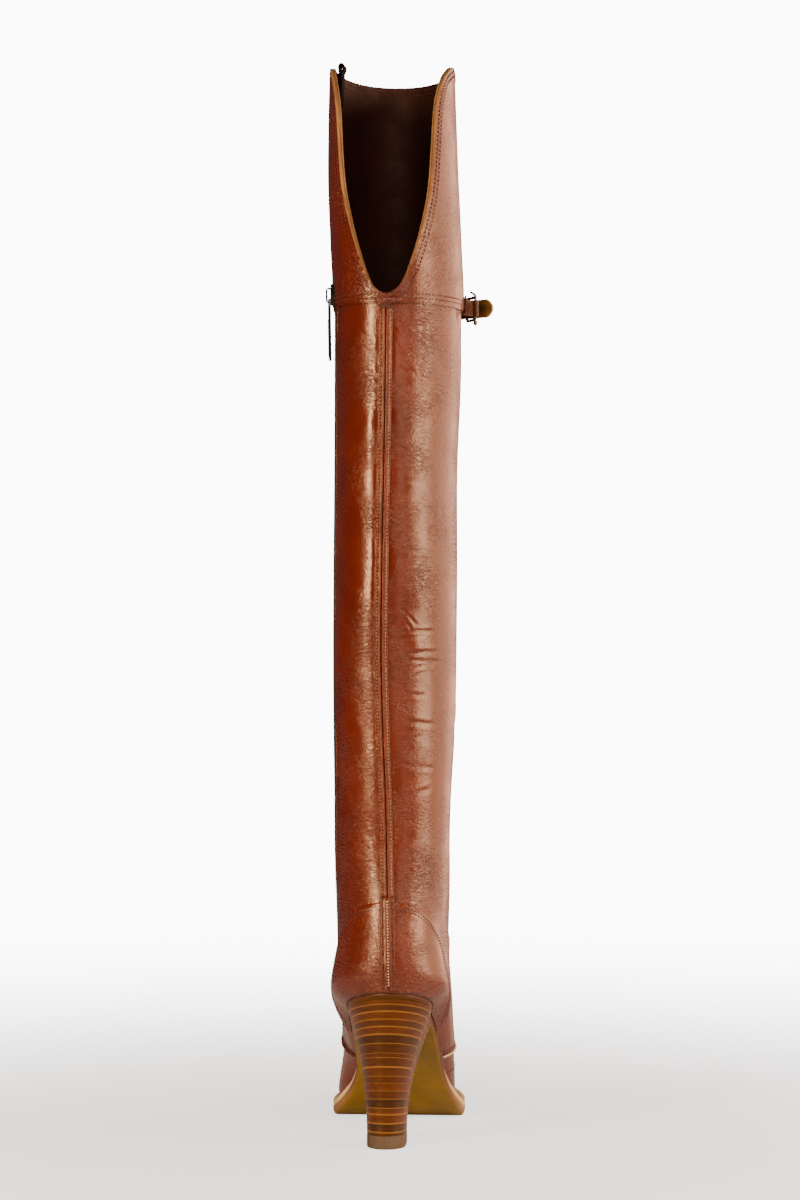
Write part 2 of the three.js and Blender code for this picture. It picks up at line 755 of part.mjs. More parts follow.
// The welt: a U round the forefoot that tapers out in the waist
const weltBack = 0.47; // share of the foot's length where the welt starts
const ribBack = 0.53; // and where the insole's rib starts
function makeWelt() {
  const top = (y) => feather(y);
  const bottom = (y) => soleTop(y) + gap;
  const outer = plate(outline(soleMargin), bottom, (y) => Math.max(top(y), bottom(y) + gap / 2));
  const core = plate(
    outline(() => -weltInside),
    (y) => bottom(y) - overshoot,
    (y) => top(y) + overshoot,
  );
  return outer.subtract(core).intersect(aheadOf(heelBack + weltBack * footLength));
}

// The insole, with the rib on its underside that fills the room inside the welt
function makeInsole() {
  const board = plate(
    outline(() => -wall - gap),
    (y) => feather(y) + gap,
    (y) => feather(y) + gap + insoleThickness,
  ).intersect(form(-wall - gap, false));
  const rib = plate(
    outline(() => -weltInside - gap),
    (y) => soleTop(y) + gap,
    (y) => feather(y) + insoleThickness / 2,
  );
  return board.add(rib.intersect(aheadOf(heelBack + ribBack * footLength)));
}

// The heel: leather lifts from the tread up to the sole, flared and hollowed towards the seat.
// "part" runs along the D outline from its back, 0, to the corner at the breast, 1.
const heelSteps = 9;
const breastShare = (heelBreast - heelBack) / footLength;
const breastTurn = Math.acos(1 - 2 * breastShare) / Math.PI;
const treadPoint = (part, side) => {
  const half = heelTreadWidth / 2;
  const roundPart = heelTreadLength * 0.55;
  const y = -heelTreadLength / 2 + heelTreadLength * part ** 1.7;
  const back = clamp((roundPart - heelTreadLength / 2 - y) / roundPart, 0, 1);
  return vec(side * half * Math.sqrt(1 - back ** 2), y, 0);
};
const seatPoint = (part, side) => {
  const turn = side * breastTurn * part;
  return outlinePoint(turn, seatMargin);
};
function heelLoop(pointOf) {
  const loop = [];
  for (let i = 0; i <= heelSteps; i++) loop.push(pointOf(i / heelSteps, 1));
  for (let i = heelSteps; i > 0; i--) loop.push(pointOf(i / heelSteps, -1));
  return loop;
}
const heelFlare = 1.95;
function makeHeel() {
  const tread = heelLoop(treadPoint);
  const seat = heelLoop(seatPoint);
  const bottom = toplift + gap;
  const layers = 9;
  const rings = [];
  for (let r = 0; r <= layers; r++) {
    const share = r / layers;
    rings.push(
      tread.map((p, i) => {
        const x = mix(p.x, seat[i].x, share ** heelFlare);
        const y = mix(p.y, seat[i].y, share ** 1.4);
        return vec(x, y, mix(bottom, soleBottom(seat[i].y) - gap, share));
      }),
    );
  }
  return loft(rings);
}
function makeToplift() {
  const tread = heelLoop(treadPoint);
  return loft([0, toplift].map((height) => tread.map((p) => vec(p.x, p.y, height))));
}

// The zip: tape and chain in the slot
function makeZip() {
  const chainShare = zipChainWidth / zipSlotWidth;
  const inChain = (u) => Math.abs(u - 0.5) < chainShare / 2 + 0.001;
  const across = 6;
  const high = (u) => (inChain(u) ? zipChainRise : gap - zipSlotDepth / 2);
  return zipSlab(zipSlotWidth - 4 * gap, 2 * gap, gap - zipSlotDepth, high, across);
}

// The slider rests near the top of the zip. Its frame: out from the skin, to the back and up
// along the zip.
const sliderUnderTop = 11; // from the end of the zip down to the slider's middle
const sliderAt = (shift) => zipPlace(1 - (sliderUnderTop - shift) / (zipTop - zipFoot));
const sliderSpot = sliderAt(0);
const [under, overIt] = [-1, 1].map((way) => sliderAt((way * sliderUnderTop) / 2));
const sliderUp = skin(overIt.level, overIt.turn).sub(skin(under.level, under.turn)).normalize();
const sliderBack = sliderUp.clone().cross(outward(sliderSpot.level, sliderSpot.turn)).normalize();
const sliderOut = sliderBack.clone().cross(sliderUp);
const sliderFrame = new THREE.Matrix4().makeBasis(sliderOut, sliderBack, sliderUp);
sliderFrame.setPosition(skin(sliderSpot.level, sliderSpot.turn));
const sliderBase = zipChainRise + gap;
const sliderPlate = 1.8;
const bridgeWidth = 2.4;
const bridgeWire = 1;
const eyeRadius = 0.6;
const bridgeRise = 2 * eyeRadius + 3 * gap + bridgeWire;
const sliderTop = sliderBase + sliderPlate;
const eyeOut = sliderTop + 1.5 * gap + eyeRadius;
const eyeDown = -2.6;

function outlineSolid(pairs, holes, depth, place) {
  const shape = new THREE.Shape(pairs.map(([a, b]) => new THREE.Vector2(a, b)));
  for (const hole of holes) {
    shape.holes.push(new THREE.Path(hole.map(([a, b]) => new THREE.Vector2(a, b))));
  }
  const body = new THREE.ExtrudeGeometry(shape, { depth, bevelEnabled: false });
  body.applyMatrix4(place);
  return solidOf(body);
}
const mirrored = (pairs) => [...pairs, ...pairs.map(([a, b]) => [-a, b]).reverse()];
const boxSolid = (size, middle) => {
  const box = new THREE.BoxGeometry(size.x, size.y, size.z);
  box.translate(middle.x, middle.y, middle.z);
  return solidOf(box);
};

// The slider's plate from its mouth to its nose, and the bridge over it. In the slider's own
// frame x is out from the boot, y to its back and z up.
const sliderWidth = 8;
const sliderLength = 12.5;
const sliderOutline = table(
  ["across", "up"],
  [
    [0.3, -0.48],
    [0.5, -0.08],
    [0.5, 0.4],
    [0.275, 0.52],
  ],
);
const bridgeLength = 9.2;
const bridgeCorner = 1.2;
function makeSlider() {
  const half = sliderOutline.map((row) => [row.across * sliderWidth, row.up * sliderLength]);
  const plan = mirrored(half);
  const lay = new THREE.Matrix4().makeBasis(vec(0, 1, 0), vec(0, 0, 1), vec(1, 0, 0));
  lay.setPosition(sliderBase, 0, 0);
  const plateBody = outlineSolid(plan, [], sliderPlate, lay);
  const low = sliderTop - sliderPlate / 9;
  const high = sliderTop + bridgeRise;
  const reach = bridgeLength / 2;
  const bridge = [
    [low, -reach],
    [high - bridgeCorner, -reach],
    [high, bridgeCorner - reach],
    [high, reach - bridgeCorner],
    [high - bridgeCorner, reach],
    [low, reach],
  ];
  const window = [
    [sliderTop, bridgeWire - reach],
    [sliderTop, reach - bridgeWire],
    [high - bridgeWire, reach - bridgeWire],
    [high - bridgeWire, bridgeWire - reach],
  ];
  const stand = new THREE.Matrix4().makeBasis(vec(1, 0, 0), vec(0, 0, 1), vec(0, -1, 0));
  stand.setPosition(0, bridgeWidth / 2, 0);
  const bridgeBody = outlineSolid(bridge, [window], bridgeWidth, stand);
  return plateBody.add(bridgeBody).transform(sliderFrame.elements);
}

// The pull tab hangs from the bridge by a bar through its eye. Its frame's origin is the bar.
const pullArm = 4.4; // length of the eye's arms
const pullTaper = 1.5; // how much narrower the tab is at its ends
const gripShare = 0.62; // the thick grip's length, as a share of the tab's
const pullFrame = sliderFrame.clone();
pullFrame.multiply(new THREE.Matrix4().makeTranslation(eyeOut, 0, eyeDown));
function makePull() {
  const half = pullWidth / 2;
  const plan = mirrored([
    [pullTaper - half, eyeRadius],
    [-half, -pullArm],
    [pullTaper / 2 - half, pullTaper - pullLength],
    [pullTaper - half, -pullLength],
  ]);
  const eyeHalf = bridgeWidth / 2 + 2 * gap;
  const hole = [
    [-eyeHalf, -eyeRadius],
    [eyeHalf, -eyeRadius],
    [eyeHalf, eyeRadius - pullArm],
    [-eyeHalf, eyeRadius - pullArm],
  ];
  const thin = 2 * eyeRadius;
  const lay = new THREE.Matrix4().makeBasis(vec(0, 1, 0), vec(0, 0, 1), vec(1, 0, 0));
  lay.setPosition(-thin / 2, 0, 0);
  const grip = boxSolid(
    vec(pullThickness, pullWidth - pullTaper, pullLength * gripShare),
    vec((pullThickness - thin) / 2, 0, -pullLength * gripShare),
  );
  return outlineSolid(plan, [hole], thin, lay).add(grip).transform(pullFrame.elements);
}

// The strap round the front of the knee: laid on the leg from beside the zip to the front,
// then straight out past the outer side, through the buckle, to its pointed tip.
const strapHeight = kneeHeight - strapDrop;
const strapLevel = levelWhere(0, () => strapHeight);
const strapStart = -0.6;
const strapLeave = 0.86;
const strapLie = gap + facing + gap;
const leavePoint = proud(strapLevel, strapLeave, strapLie);
const leaveOut = outward(strapLevel, strapLeave).setZ(0).normalize();
const leaveAlong = vec(0, 0, 1).cross(leaveOut).normalize().negate();
const tailLength = (tailReach - leavePoint.x) / leaveAlong.x;
const tipChamfer = 3.6;
function makeStrap() {
  const wrapSteps = 16;
  const tailSteps = 4;
  const steps = wrapSteps + tailSteps;
  const wrapped = 2 + strapStart - strapLeave;
  return slab(
    (u, v, depth) => {
      const at = Math.round(v * steps);
      const rise = depth ? strapLie + strapThickness : 0;
      const side = (u - 0.5) * strapWidth;
      if (at <= wrapSteps) {
        const turn = strapStart - (wrapped * at) / wrapSteps;
        const point = proud(strapLevel, turn < -1 ? turn + 2 : turn, rise);
        return vec(point.x, point.y, strapHeight + side);
      }
      const share = (at - wrapSteps) / tailSteps;
      const narrow = share === 1 ? tipChamfer / (strapWidth / 2) : 0;
      const straight = (share * (tailLength - tipChamfer)) / (1 - 1 / tailSteps);
      const before = share < 1 ? straight : tailLength;
      const point = leavePoint.clone().addScaledVector(leaveAlong, before);
      point.addScaledVector(leaveOut, depth * strapThickness);
      return vec(point.x, point.y, strapHeight + side * (1 - narrow));
    },
    4,
    steps,
  )
    .subtract(facedForm)
    .subtract(prongBody(prongRadius + gap));
}

// A place by the straight tail: "along" from where it leaves the leg, "off" out from its inner
// face and "up" from its middle.
function byTail(along, off, up) {
  const point = leavePoint.clone().addScaledVector(leaveAlong, along);
  return point.addScaledVector(leaveOut, off).setZ(strapHeight + up);
}

// The buckle: a flat frame askew to the strap, which passes under its near side and over the
// bar on its far side. The bar's lower end is a ball and its upper end a bent pin.
const wireReach = (buckleWire / 2) * Math.SQRT2;
const chapeHole = wireReach + gap;
const chapeRing = chapeHole + chapeThickness;
const barOff = -chapeRing - gap;
const nearOff = strapThickness + gap + wireReach;
const buckleCorner = 2.6;
const ballRadius = 1.5; // of the bar's lower end
const pinRise = 2.8; // how far its upper end stands over the frame
const barSpan = buckleLength - buckleWire;
const barAlong = tailLength - barAway;
const nearAlong = barAlong - Math.sqrt(barSpan ** 2 - (nearOff - barOff) ** 2);

// A round rod between two points, and a rod's run through several
const rodSides = 8;
function rod(from, to, radius) {
  const length = from.distanceTo(to);
  const body = new THREE.CylinderGeometry(radius, radius, length, rodSides);
  const run = to.clone().sub(from).normalize();
  const turn = new THREE.Quaternion().setFromUnitVectors(vec(0, 1, 0), run);
  body.applyMatrix4(new THREE.Matrix4().makeRotationFromQuaternion(turn));
  const middle = from.clone().add(to).multiplyScalar(0.5);
  body.translate(middle.x, middle.y, middle.z);
  return solidOf(body);
}
function ball(at, radius) {
  const body = new THREE.IcosahedronGeometry(radius, 1);
  body.translate(at.x, at.y, at.z);
  return solidOf(body);
}
function bentRod(points, radius) {
  let body = rod(points[0], points[1], radius);
  for (let i = 1; i < points.length - 1; i++) {
    body = body.add(ball(points[i], radius)).add(rod(points[i], points[i + 1], radius));
  }
  return body.add(ball(points[points.length - 1], radius));
}
function makeBuckle() {
  const bar = byTail(barAlong, barOff, 0);
  const near = byTail(nearAlong, nearOff, 0);
  const middle = bar.clone().add(near).multiplyScalar(0.5);
  const across = bar.clone().sub(near).normalize();
  const up = vec(0, 0, 1);
  const frame = new THREE.Matrix4().makeBasis(across, up, across.clone().cross(up));
  frame.setPosition(middle);
  const ring = (inset) => {
    const [x, z] = [buckleLength / 2 - inset, buckleHeight / 2 - inset];
    const r = buckleCorner - inset;
    const shape = new THREE.Shape();
    shape.absarc(x - r, -z + r, r, -Math.PI / 2, 0);
    shape.absarc(x - r, z - r, r, 0, Math.PI / 2);
    shape.absarc(-x + r, z - r, r, Math.PI / 2, Math.PI);
    shape.absarc(-x + r, -z + r, r, Math.PI, 1.5 * Math.PI);
    return shape;
  };
  const shape = ring(0);
  shape.holes.push(ring(buckleWire));
  const cast = { depth: buckleWire, curveSegments: 3, bevelEnabled: false };
  const body = new THREE.ExtrudeGeometry(shape, cast);
  body.translate(0, 0, -buckleWire / 2);
  body.applyMatrix4(frame);
  const half = buckleHeight / 2;
  const radius = buckleWire / 2;
  const foot = byTail(barAlong, barOff, -half - radius);
  const neck = rod(byTail(barAlong, barOff, radius - half), foot, radius);
  const head = byTail(barAlong, barOff, half - radius);
  const tip = byTail(barAlong - 2 * buckleWire, barOff, half + pinRise);
  const pin = bentRod([head, tip], prongRadius);
  return solidOf(body).add(neck).add(ball(foot, ballRadius)).add(pin);
}

// The prong: from the bar up through its hole in the strap and over to the near side
function prongBody(radius) {
  const root = byTail(barAlong - chapeRing - gap - prongRadius, barOff / 2, 0);
  const bend = byTail(barAlong - chapeRing - 2 * buckleWire, strapThickness + gap + prongRadius, 0);
  const rest = nearOff + wireReach + gap + prongRadius;
  const tip = byTail(nearAlong - wireReach - prongRadius, rest, 0);
  return bentRod([root, bend, byTail(nearAlong, rest, 0), tip], radius);
}

// The chape: a leather tab sewn on the leg's outer side whose end loops round the bar
const chapeTurns = [0.5, 0.54, 0.58, 0.62];
function makeChape() {
  const bar = byTail(barAlong, barOff, 0);
  const end = bar.clone().addScaledVector(leaveOut, -(chapeHole + chapeThickness / 2));
  const steps = chapeTurns.length;
  const tab = slab(
    (u, v, depth) => {
      const at = Math.round(v * steps);
      const up = (u - 0.5) * chapeWidth;
      if (at < steps) {
        const point = proud(strapLevel, chapeTurns[at], depth ? strapLie + chapeThickness : 0);
        return vec(point.x, point.y, strapHeight + up);
      }
      const side = (depth - 0.5) * chapeThickness;
      return vec(end.x + leaveOut.x * side, end.y + leaveOut.y * side, strapHeight + up);
    },
    2,
    steps,
  ).subtract(facedForm);
  const lower = bar.clone().setZ(strapHeight - chapeWidth / 2);
  const upper = bar.clone().setZ(strapHeight + chapeWidth / 2);
  const hole = rod(lower.clone().setZ(0), upper.clone().setZ(2 * strapHeight), chapeHole);
  return tab.add(rod(lower, upper, chapeRing)).subtract(hole);
}

// The pull loop: a tape folded double and sewn inside the cuff's inner side. "out" and "up"
// are from the skin and from the top edge.
const loopPath = [
  { out: -0.5, up: -1 },
  { out: -0.5, up: -0.5 },
  { out: -0.5, up: 0 },
  { out: -0.1, up: 0.55 },
  { out: -0.9, up: 0.93 },
  { out: -2.0, up: 1.0 },
  { out: -3.1, up: 0.75 },
  { out: -3.0, up: 0.35 },
  { out: -2.1, up: 0 },
  { out: -2.0, up: -0.5 },
  { out: -2.0, up: -1 },
];
function makeLoop() {
  const inside = -wall - gap;
  const middle = heelBack + loopAlong * footLength;
  const steps = loopPath.length - 1;
  const place = (row) => vec(inside + row.out, row.up * (row.up < 0 ? loopLeg : loopRise), 0);
  return slab(
    (u, v, depth) => {
      const at = Math.round(v * steps);
      const here = place(loopPath[at]);
      const before = place(loopPath[Math.max(at - 1, 0)]);
      const run = place(loopPath[Math.min(at + 1, steps)]).sub(before).normalize();
      const side = (depth - 0.5) * tapeThickness;
      const out = here.x + run.y * side;
      const up = here.y - run.x * side;
      const turn = turnWhere(lastRing, middle + (u - 0.5) * loopWidth, -1);
      const level = levelWhere(turn, () => bootHeight + Math.min(up, 0));
      const point = proud(level, turn, out);
      return vec(point.x, point.y, bootHeight + up);
    },
    3,
    steps,
  );
}

const materials = {
  leather: new THREE.MeshStandardMaterial({ color: 0x96502a, roughness: 0.35, metalness: 0 }),
  edge: new THREE.MeshStandardMaterial({ color: 0xb98a55, roughness: 0.6, metalness: 0 }),
  stack: new THREE.MeshStandardMaterial({ color: 0x9a6a2a, roughness: 0.5, metalness: 0 }),
  rubber: new THREE.MeshStandardMaterial({ color: 0x6d6258, roughness: 0.8, metalness: 0 }),
  board: new THREE.MeshStandardMaterial({ color: 0x7a4a30, roughness: 0.8, metalness: 0 }),
  tape: new THREE.MeshStandardMaterial({ color: 0x141210, roughness: 0.7, metalness: 0 }),
  metal: new THREE.MeshStandardMaterial({ color: 0x6f5a38, roughness: 0.4, metalness: 0.9 }),
};

const boot = new THREE.Group();
function place(name, solid, material) {
  const mesh = new THREE.Mesh(geometryOf(wholeOf(solid)), materials[material]);
  mesh.name = name;
  boot.add(mesh);
}
place("top_lift", makeToplift(), "rubber");
place("heel_stack", makeHeel(), "stack");
place("outsole", makeOutsole(), "edge");
place("welt", makeWelt(), "edge");
place("insole", makeInsole(), "board");
place("upper", makeUpper(), "leather");
place("cuff", makeCuff(), "leather");
place("counter", makeCounter(), "leather");
place("back_seam", makeBackSeam(), "leather");
place("zip", makeZip(), "tape");
place("zip_slider", makeSlider(), "metal");
place("zip_pull", makePull(), "metal");
place("knee_strap", makeStrap(), "leather");
place("buckle_frame", makeBuckle(), "metal");
place("buckle_prong", prongBody(prongRadius), "metal");
place("buckle_chape", makeChape(), "leather");
place("pull_loop", makeLoop(), "tape");

export default boot;
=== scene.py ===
import math

import bpy
import numpy as np
from mathutils import Matrix, Vector


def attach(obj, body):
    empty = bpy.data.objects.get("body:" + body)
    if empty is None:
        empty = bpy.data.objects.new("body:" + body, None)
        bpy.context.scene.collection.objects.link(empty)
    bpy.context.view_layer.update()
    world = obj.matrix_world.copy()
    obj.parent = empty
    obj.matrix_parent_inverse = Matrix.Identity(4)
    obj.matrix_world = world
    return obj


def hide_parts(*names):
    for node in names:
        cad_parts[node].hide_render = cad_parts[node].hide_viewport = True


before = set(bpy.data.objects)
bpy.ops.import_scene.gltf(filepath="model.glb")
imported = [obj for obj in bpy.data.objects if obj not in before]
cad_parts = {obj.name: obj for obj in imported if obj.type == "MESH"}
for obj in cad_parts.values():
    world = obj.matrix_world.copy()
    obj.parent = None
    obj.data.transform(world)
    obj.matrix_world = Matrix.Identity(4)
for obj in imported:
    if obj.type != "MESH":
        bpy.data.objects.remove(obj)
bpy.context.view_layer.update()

# CAMERA. It stands level behind the boot and a little to its outer side, two metres away, as in
# the photograph, and looks straight at the one boot.
camera = bpy.data.objects.new("camera", bpy.data.cameras.new("camera"))
bpy.context.scene.collection.objects.link(camera)
bpy.context.scene.camera = camera
camera.location = (0.1253, -1.9696, 0.33)
camera.rotation_euler = (math.radians(90), 0, math.radians(3.4))
camera.data.sensor_fit = "VERTICAL"
camera.data.sensor_height = 36
camera.data.lens = 98
camera.data.clip_end = 50

# FLOOR AND LIGHT. A pale floor under soft studio light: a broad softbox on the right for the
# pink sheen of the leather, a narrow one on the left for its bright streak, and a fill from above.
def shader(name):
    material = bpy.data.materials.new(name)
    material.use_nodes = True
    nodes = material.node_tree.nodes
    return material, nodes, material.node_tree.links, nodes["Principled BSDF"]


floor_finish, nodes, links, surface = shader("floor_finish")
surface.inputs["Base Color"].default_value = (0.7, 0.7, 0.7, 1)
surface.inputs["Roughness"].default_value = 0.6
surface.inputs["Emission Color"].default_value = (1, 1, 1, 1)
seen = nodes.new("ShaderNodeLightPath")
glow = nodes.new("ShaderNodeMath")
glow.operation = "MULTIPLY"
glow.inputs[1].default_value = 1.45
links.new(seen.outputs["Is Camera Ray"], glow.inputs[0])
links.new(glow.outputs[0], surface.inputs["Emission Strength"])
place = nodes.new("ShaderNodeTexCoord")
from_boot = nodes.new("ShaderNodeVectorMath")
from_boot.operation = "LENGTH"
far_fade = nodes.new("ShaderNodeMapRange")
far_fade.interpolation_type = "SMOOTHERSTEP"
far_fade.inputs["From Min"].default_value = 0.1
far_fade.inputs["From Max"].default_value = 1.5
paper = nodes.new("ShaderNodeBsdfTransparent")
fading = nodes.new("ShaderNodeMixShader")
links.new(place.outputs["Object"], from_boot.inputs[0])
links.new(from_boot.outputs["Value"], far_fade.inputs["Value"])
links.new(far_fade.outputs["Result"], fading.inputs["Fac"])
links.new(surface.outputs["BSDF"], fading.inputs[1])
links.new(paper.outputs["BSDF"], fading.inputs[2])
links.new(fading.outputs["Shader"], nodes["Material Output"].inputs["Surface"])
floor_mesh = bpy.data.meshes.new("floor")
floor_mesh.from_pydata([(-6, -6, 0), (6, -6, 0), (6, 6, 0), (-6, 6, 0)], [], [(0, 1, 2, 3)])
floor_mesh.materials.append(floor_finish)
floor = bpy.data.objects.new("floor", floor_mesh)
bpy.context.scene.collection.objects.link(floor)


def softbox(name, place, aim, size, power, colour=(1, 1, 1)):
    lamp = bpy.data.lights.new(name, "AREA")
    lamp.shape = "RECTANGLE"
    lamp.size, lamp.size_y = size
    lamp.energy = power
    lamp.color = colour
    box = bpy.data.objects.new(name, lamp)
    box.location = place
    box.rotation_euler = (Vector(aim) - Vector(place)).to_track_quat("-Z", "Y").to_euler()
    bpy.context.scene.collection.objects.link(box)


softbox("softbox_right", (1.96, -0.38, 0.6), (0, 0, 0.32), (1.15, 1.6), 58, (1, 0.8, 0.62))
softbox("softbox_side", (1.84, 0.8, 0.6), (0, 0, 0.34), (1.2, 1.8), 20, (1, 0.68, 0.45))
softbox("softbox_rim", (1.27, 2.04, 0.6), (0, 0, 0.34), (1.5, 1.8), 30, (1, 0.56, 0.38))
softbox("softbox_front", (1.18, -1.62, 0.6), (0, 0, 0.34), (0.6, 1.6), 7, (1, 0.9, 0.8))
softbox("softbox_left", (-1.18, -1.41, 0.55), (0, 0, 0.34), (0.28, 1.6), 56, (1, 0.8, 0.55))
softbox("softbox_top", (0.3, -1.5, 1.9), (0, 0, 0.2), (1.0, 1.0), 20, (1, 0.95, 0.9))

world = bpy.data.worlds.new("studio")
bpy.context.scene.world = world
world.use_nodes = True
nodes, links = world.node_tree.nodes, world.node_tree.links
room = nodes["Background"]
room.inputs["Color"].default_value = (1, 0.97, 0.93, 1)
room.inputs["Strength"].default_value = 0.07
backdrop = nodes.new("ShaderNodeBackground")
backdrop.inputs["Color"].default_value = (1, 1, 1, 1)
backdrop.inputs["Strength"].default_value = 11
rays = nodes.new("ShaderNodeLightPath")
either = nodes.new("ShaderNodeMixShader")
links.new(rays.outputs["Is Camera Ray"], either.inputs[0])
links.new(room.outputs[0], either.inputs[1])
links.new(backdrop.outputs[0], either.inputs[2])
links.new(either.outputs[0], nodes["World Output"].inputs["Surface"])

# UPPER. Vamp and leg of cognac leather on a red-brown leather lining, one hollow wall from the
# feather edge to the raw-cut edge of the notch and the collar, with the creases it has taken.
foot_length = 228
heel_back = -31
heel_height = 96.4
toe_spring = 10
sole_thickness = 5.5
seat_sole_thickness = 3.6
welt_thickness = 3.5
seat_width = 48
counter_width = 70
waist_width = 70
ball_width = 76
ankle_height = 195
knee_height = 512
boot_height = 654
gap = 0.3
wall = 1.7
vamp_step = 0.9
toe_tip = heel_back + foot_length


def table(columns, rows):
    values = np.array(rows, float)
    return {name: values[:, i] for i, name in enumerate(columns)}


def mix(a, b, share):
    return a + (b - a) * share


def ease(share):
    s = np.clip(share, 0, 1)
    return s * s * (3 - 2 * s)


def hermite(s, span, left, right, slope_left, slope_right):
    a = (2 * s**3 - 3 * s**2 + 1) * left + (3 * s**2 - 2 * s**3) * right
    return a + ((s**3 - 2 * s**2 + s) * slope_left + (s**3 - s**2) * slope_right) * span


def slopes(x, y):
    rise = np.diff(y, axis=-1) / np.diff(x)
    slope = np.empty_like(y)
    slope[..., 0], slope[..., -1] = rise[..., 0], rise[..., -1]
    a, b = rise[..., :-1], rise[..., 1:]
    same = a * b > 0
    slope[..., 1:-1] = np.where(same, 2 * a * b / np.where(same, a + b, 1), 0)
    return slope


def curve(x, y):
    x, y = np.asarray(x, float), np.asarray(y, float)
    slope = slopes(x, y)

    def value(at):
        at = np.asarray(at, float)
        i = np.clip(np.searchsorted(x, at) - 1, 0, len(x) - 2)
        span = x[i + 1] - x[i]
        s = np.clip((at - x[i]) / span, 0, 1)
        inside = hermite(s, span, y[i], y[i + 1], slope[i], slope[i + 1])
        return inside + np.minimum(at - x[0], 0) * slope[0] + np.maximum(at - x[-1], 0) * slope[-1]

    return value


sole_line = table(
    ["along", "rise", "spring"],
    [
        [0.0, 1.0, 0],
        [0.07, 0.944, 0],
        [0.158, 0.858, 0],
        [0.232, 0.767, 0],
        [0.311, 0.629, 0],
        [0.399, 0.452, 0],
        [0.487, 0.275, 0],
        [0.561, 0.132, 0],
        [0.618, 0.04, 0],
        [0.667, 0, 0],
        [0.785, 0, 0],
        [0.89, 0, 0.2],
        [0.96, 0, 0.6],
        [1.0, 0, 1.0],
    ],
)
sole_rise = curve(sole_line["along"], sole_line["rise"])
sole_spring = curve(sole_line["along"], sole_line["spring"])
fore_thickness = sole_thickness + welt_thickness


def feather(y):
    along = (y - heel_back) / foot_length
    pitch = sole_rise(along) * (heel_height - fore_thickness)
    return fore_thickness + pitch + sole_spring(along) * toe_spring


leg_line = table(
    ["height", "width", "depth", "middle", "lean", "seam", "square"],
    [
        [ankle_height, 70, 88, 19.5, 2.9, 1.6, 0.05],
        [300, 74.3, 109, 17.5, 4.6, -0.8, 0.08],
        [405, 74.3, 130, 20, 5.3, 1.2, 0.12],
        [knee_height, 76.8, 126, 24.5, 6, 2.2, 0.12],
        [585, 76.5, 132, 25, 2.8, 1.2, 0.1],
        [boot_height, 72.6, 144, 26, 2.4, 0.4, 0.08],
    ],
)
foot_rings = table(
    ["ahead", "front", "behind", "back", "drape", "swell", "round", "waist", "ball", "toe", "tip", "leg"],
    [
        [1, 0, 1, 0, 1, 0, 1.57, 0.75, 1.03, 1.2, 1, 0],
        [1.01, 0.023, 1.25, 0.055, 1, 0.52, 1.5, 0.86, 1.065, 1.215, 1.02, 0],
        [1.003, 0.054, 1.5, 0.115, 1, 0.9, 1.42, 0.94, 1.075, 1.2, 1, 0],
        [0.965, 0.088, 1.62, 0.18, 1, 0.95, 1.33, 0.975, 1.04, 1.14, 0.95, 0],
        [0.875, 0.117, 1.58, 0.25, 1, 0.85, 1.28, 0.985, 0.955, 1.01, 0.88, 0],
        [0.74, 0.148, 1.44, 0.33, 1, 0.74, 1.24, 0.985, 0.935, 0.9, 0.8, 0],
        [0.573, 0.197, 1.17, 0.41, 0.95, 0.66, 1.2, 0.975, 0.905, 0.82, 0.74, 0],
        [0.416, 0.27, 0.87, 0.49, 0.85, 0.64, 1.15, 0.965, 0.895, 0.84, 0.76, 0.08],
        [0.281, 0.37, 0.58, 0.57, 0.7, 0.63, 1.1, 0.955, 0.895, 0.86, 0.8, 0.2],
        [0.176, 0.494, 0.33, 0.66, 0.5, 0.66, 1.07, 0.945, 0.895, 0.87, 0.82, 0.4],
        [0.094, 0.636, 0.13, 0.76, 0.3, 0.7, 1.06, 0.95, 0.9, 0.88, 0.85, 0.65],
        [0.037, 0.778, 0.02, 0.865, 0.12, 0.75, 1.05, 0.96, 0.92, 0.9, 0.88, 0.85],
        [0.008, 0.92, 0, 0.97, 0, 0.8, 1.05, 0.97, 0.93, 0.92, 0.9, 1],
    ],
)
ring_heights = [211.8, 253.8, 300, 352.5, 405, 458.5, 512, 548.5, 585, 619.5, 654]
stations = np.array([0, 0.08, 0.22, 0.45, 0.68, 0.86, 1])
inner_bias = np.array([0, 0, 0.02, -0.1, 0.06, 0.05, 0.08])
square_share = np.array([1, 0.8, 0.35, 0, 0, 0.2, 0.4])
ring_names = ["back_y", "front_y", "back_z", "front_z", "drape", "seam", "lean", "swing"]


def leg_section(height):
    value = {name: float(curve(leg_line["height"], leg_line[name])(height)) for name in leg_line}
    back, front = value["middle"] - value["depth"] / 2, value["middle"] + value["depth"] / 2
    half = value["width"] / 2 * (1 + square_share * value["square"])
    return [back, front, height, height, 0, value["seam"], value["lean"], value["lean"], *half]


ankle = leg_section(ankle_height)


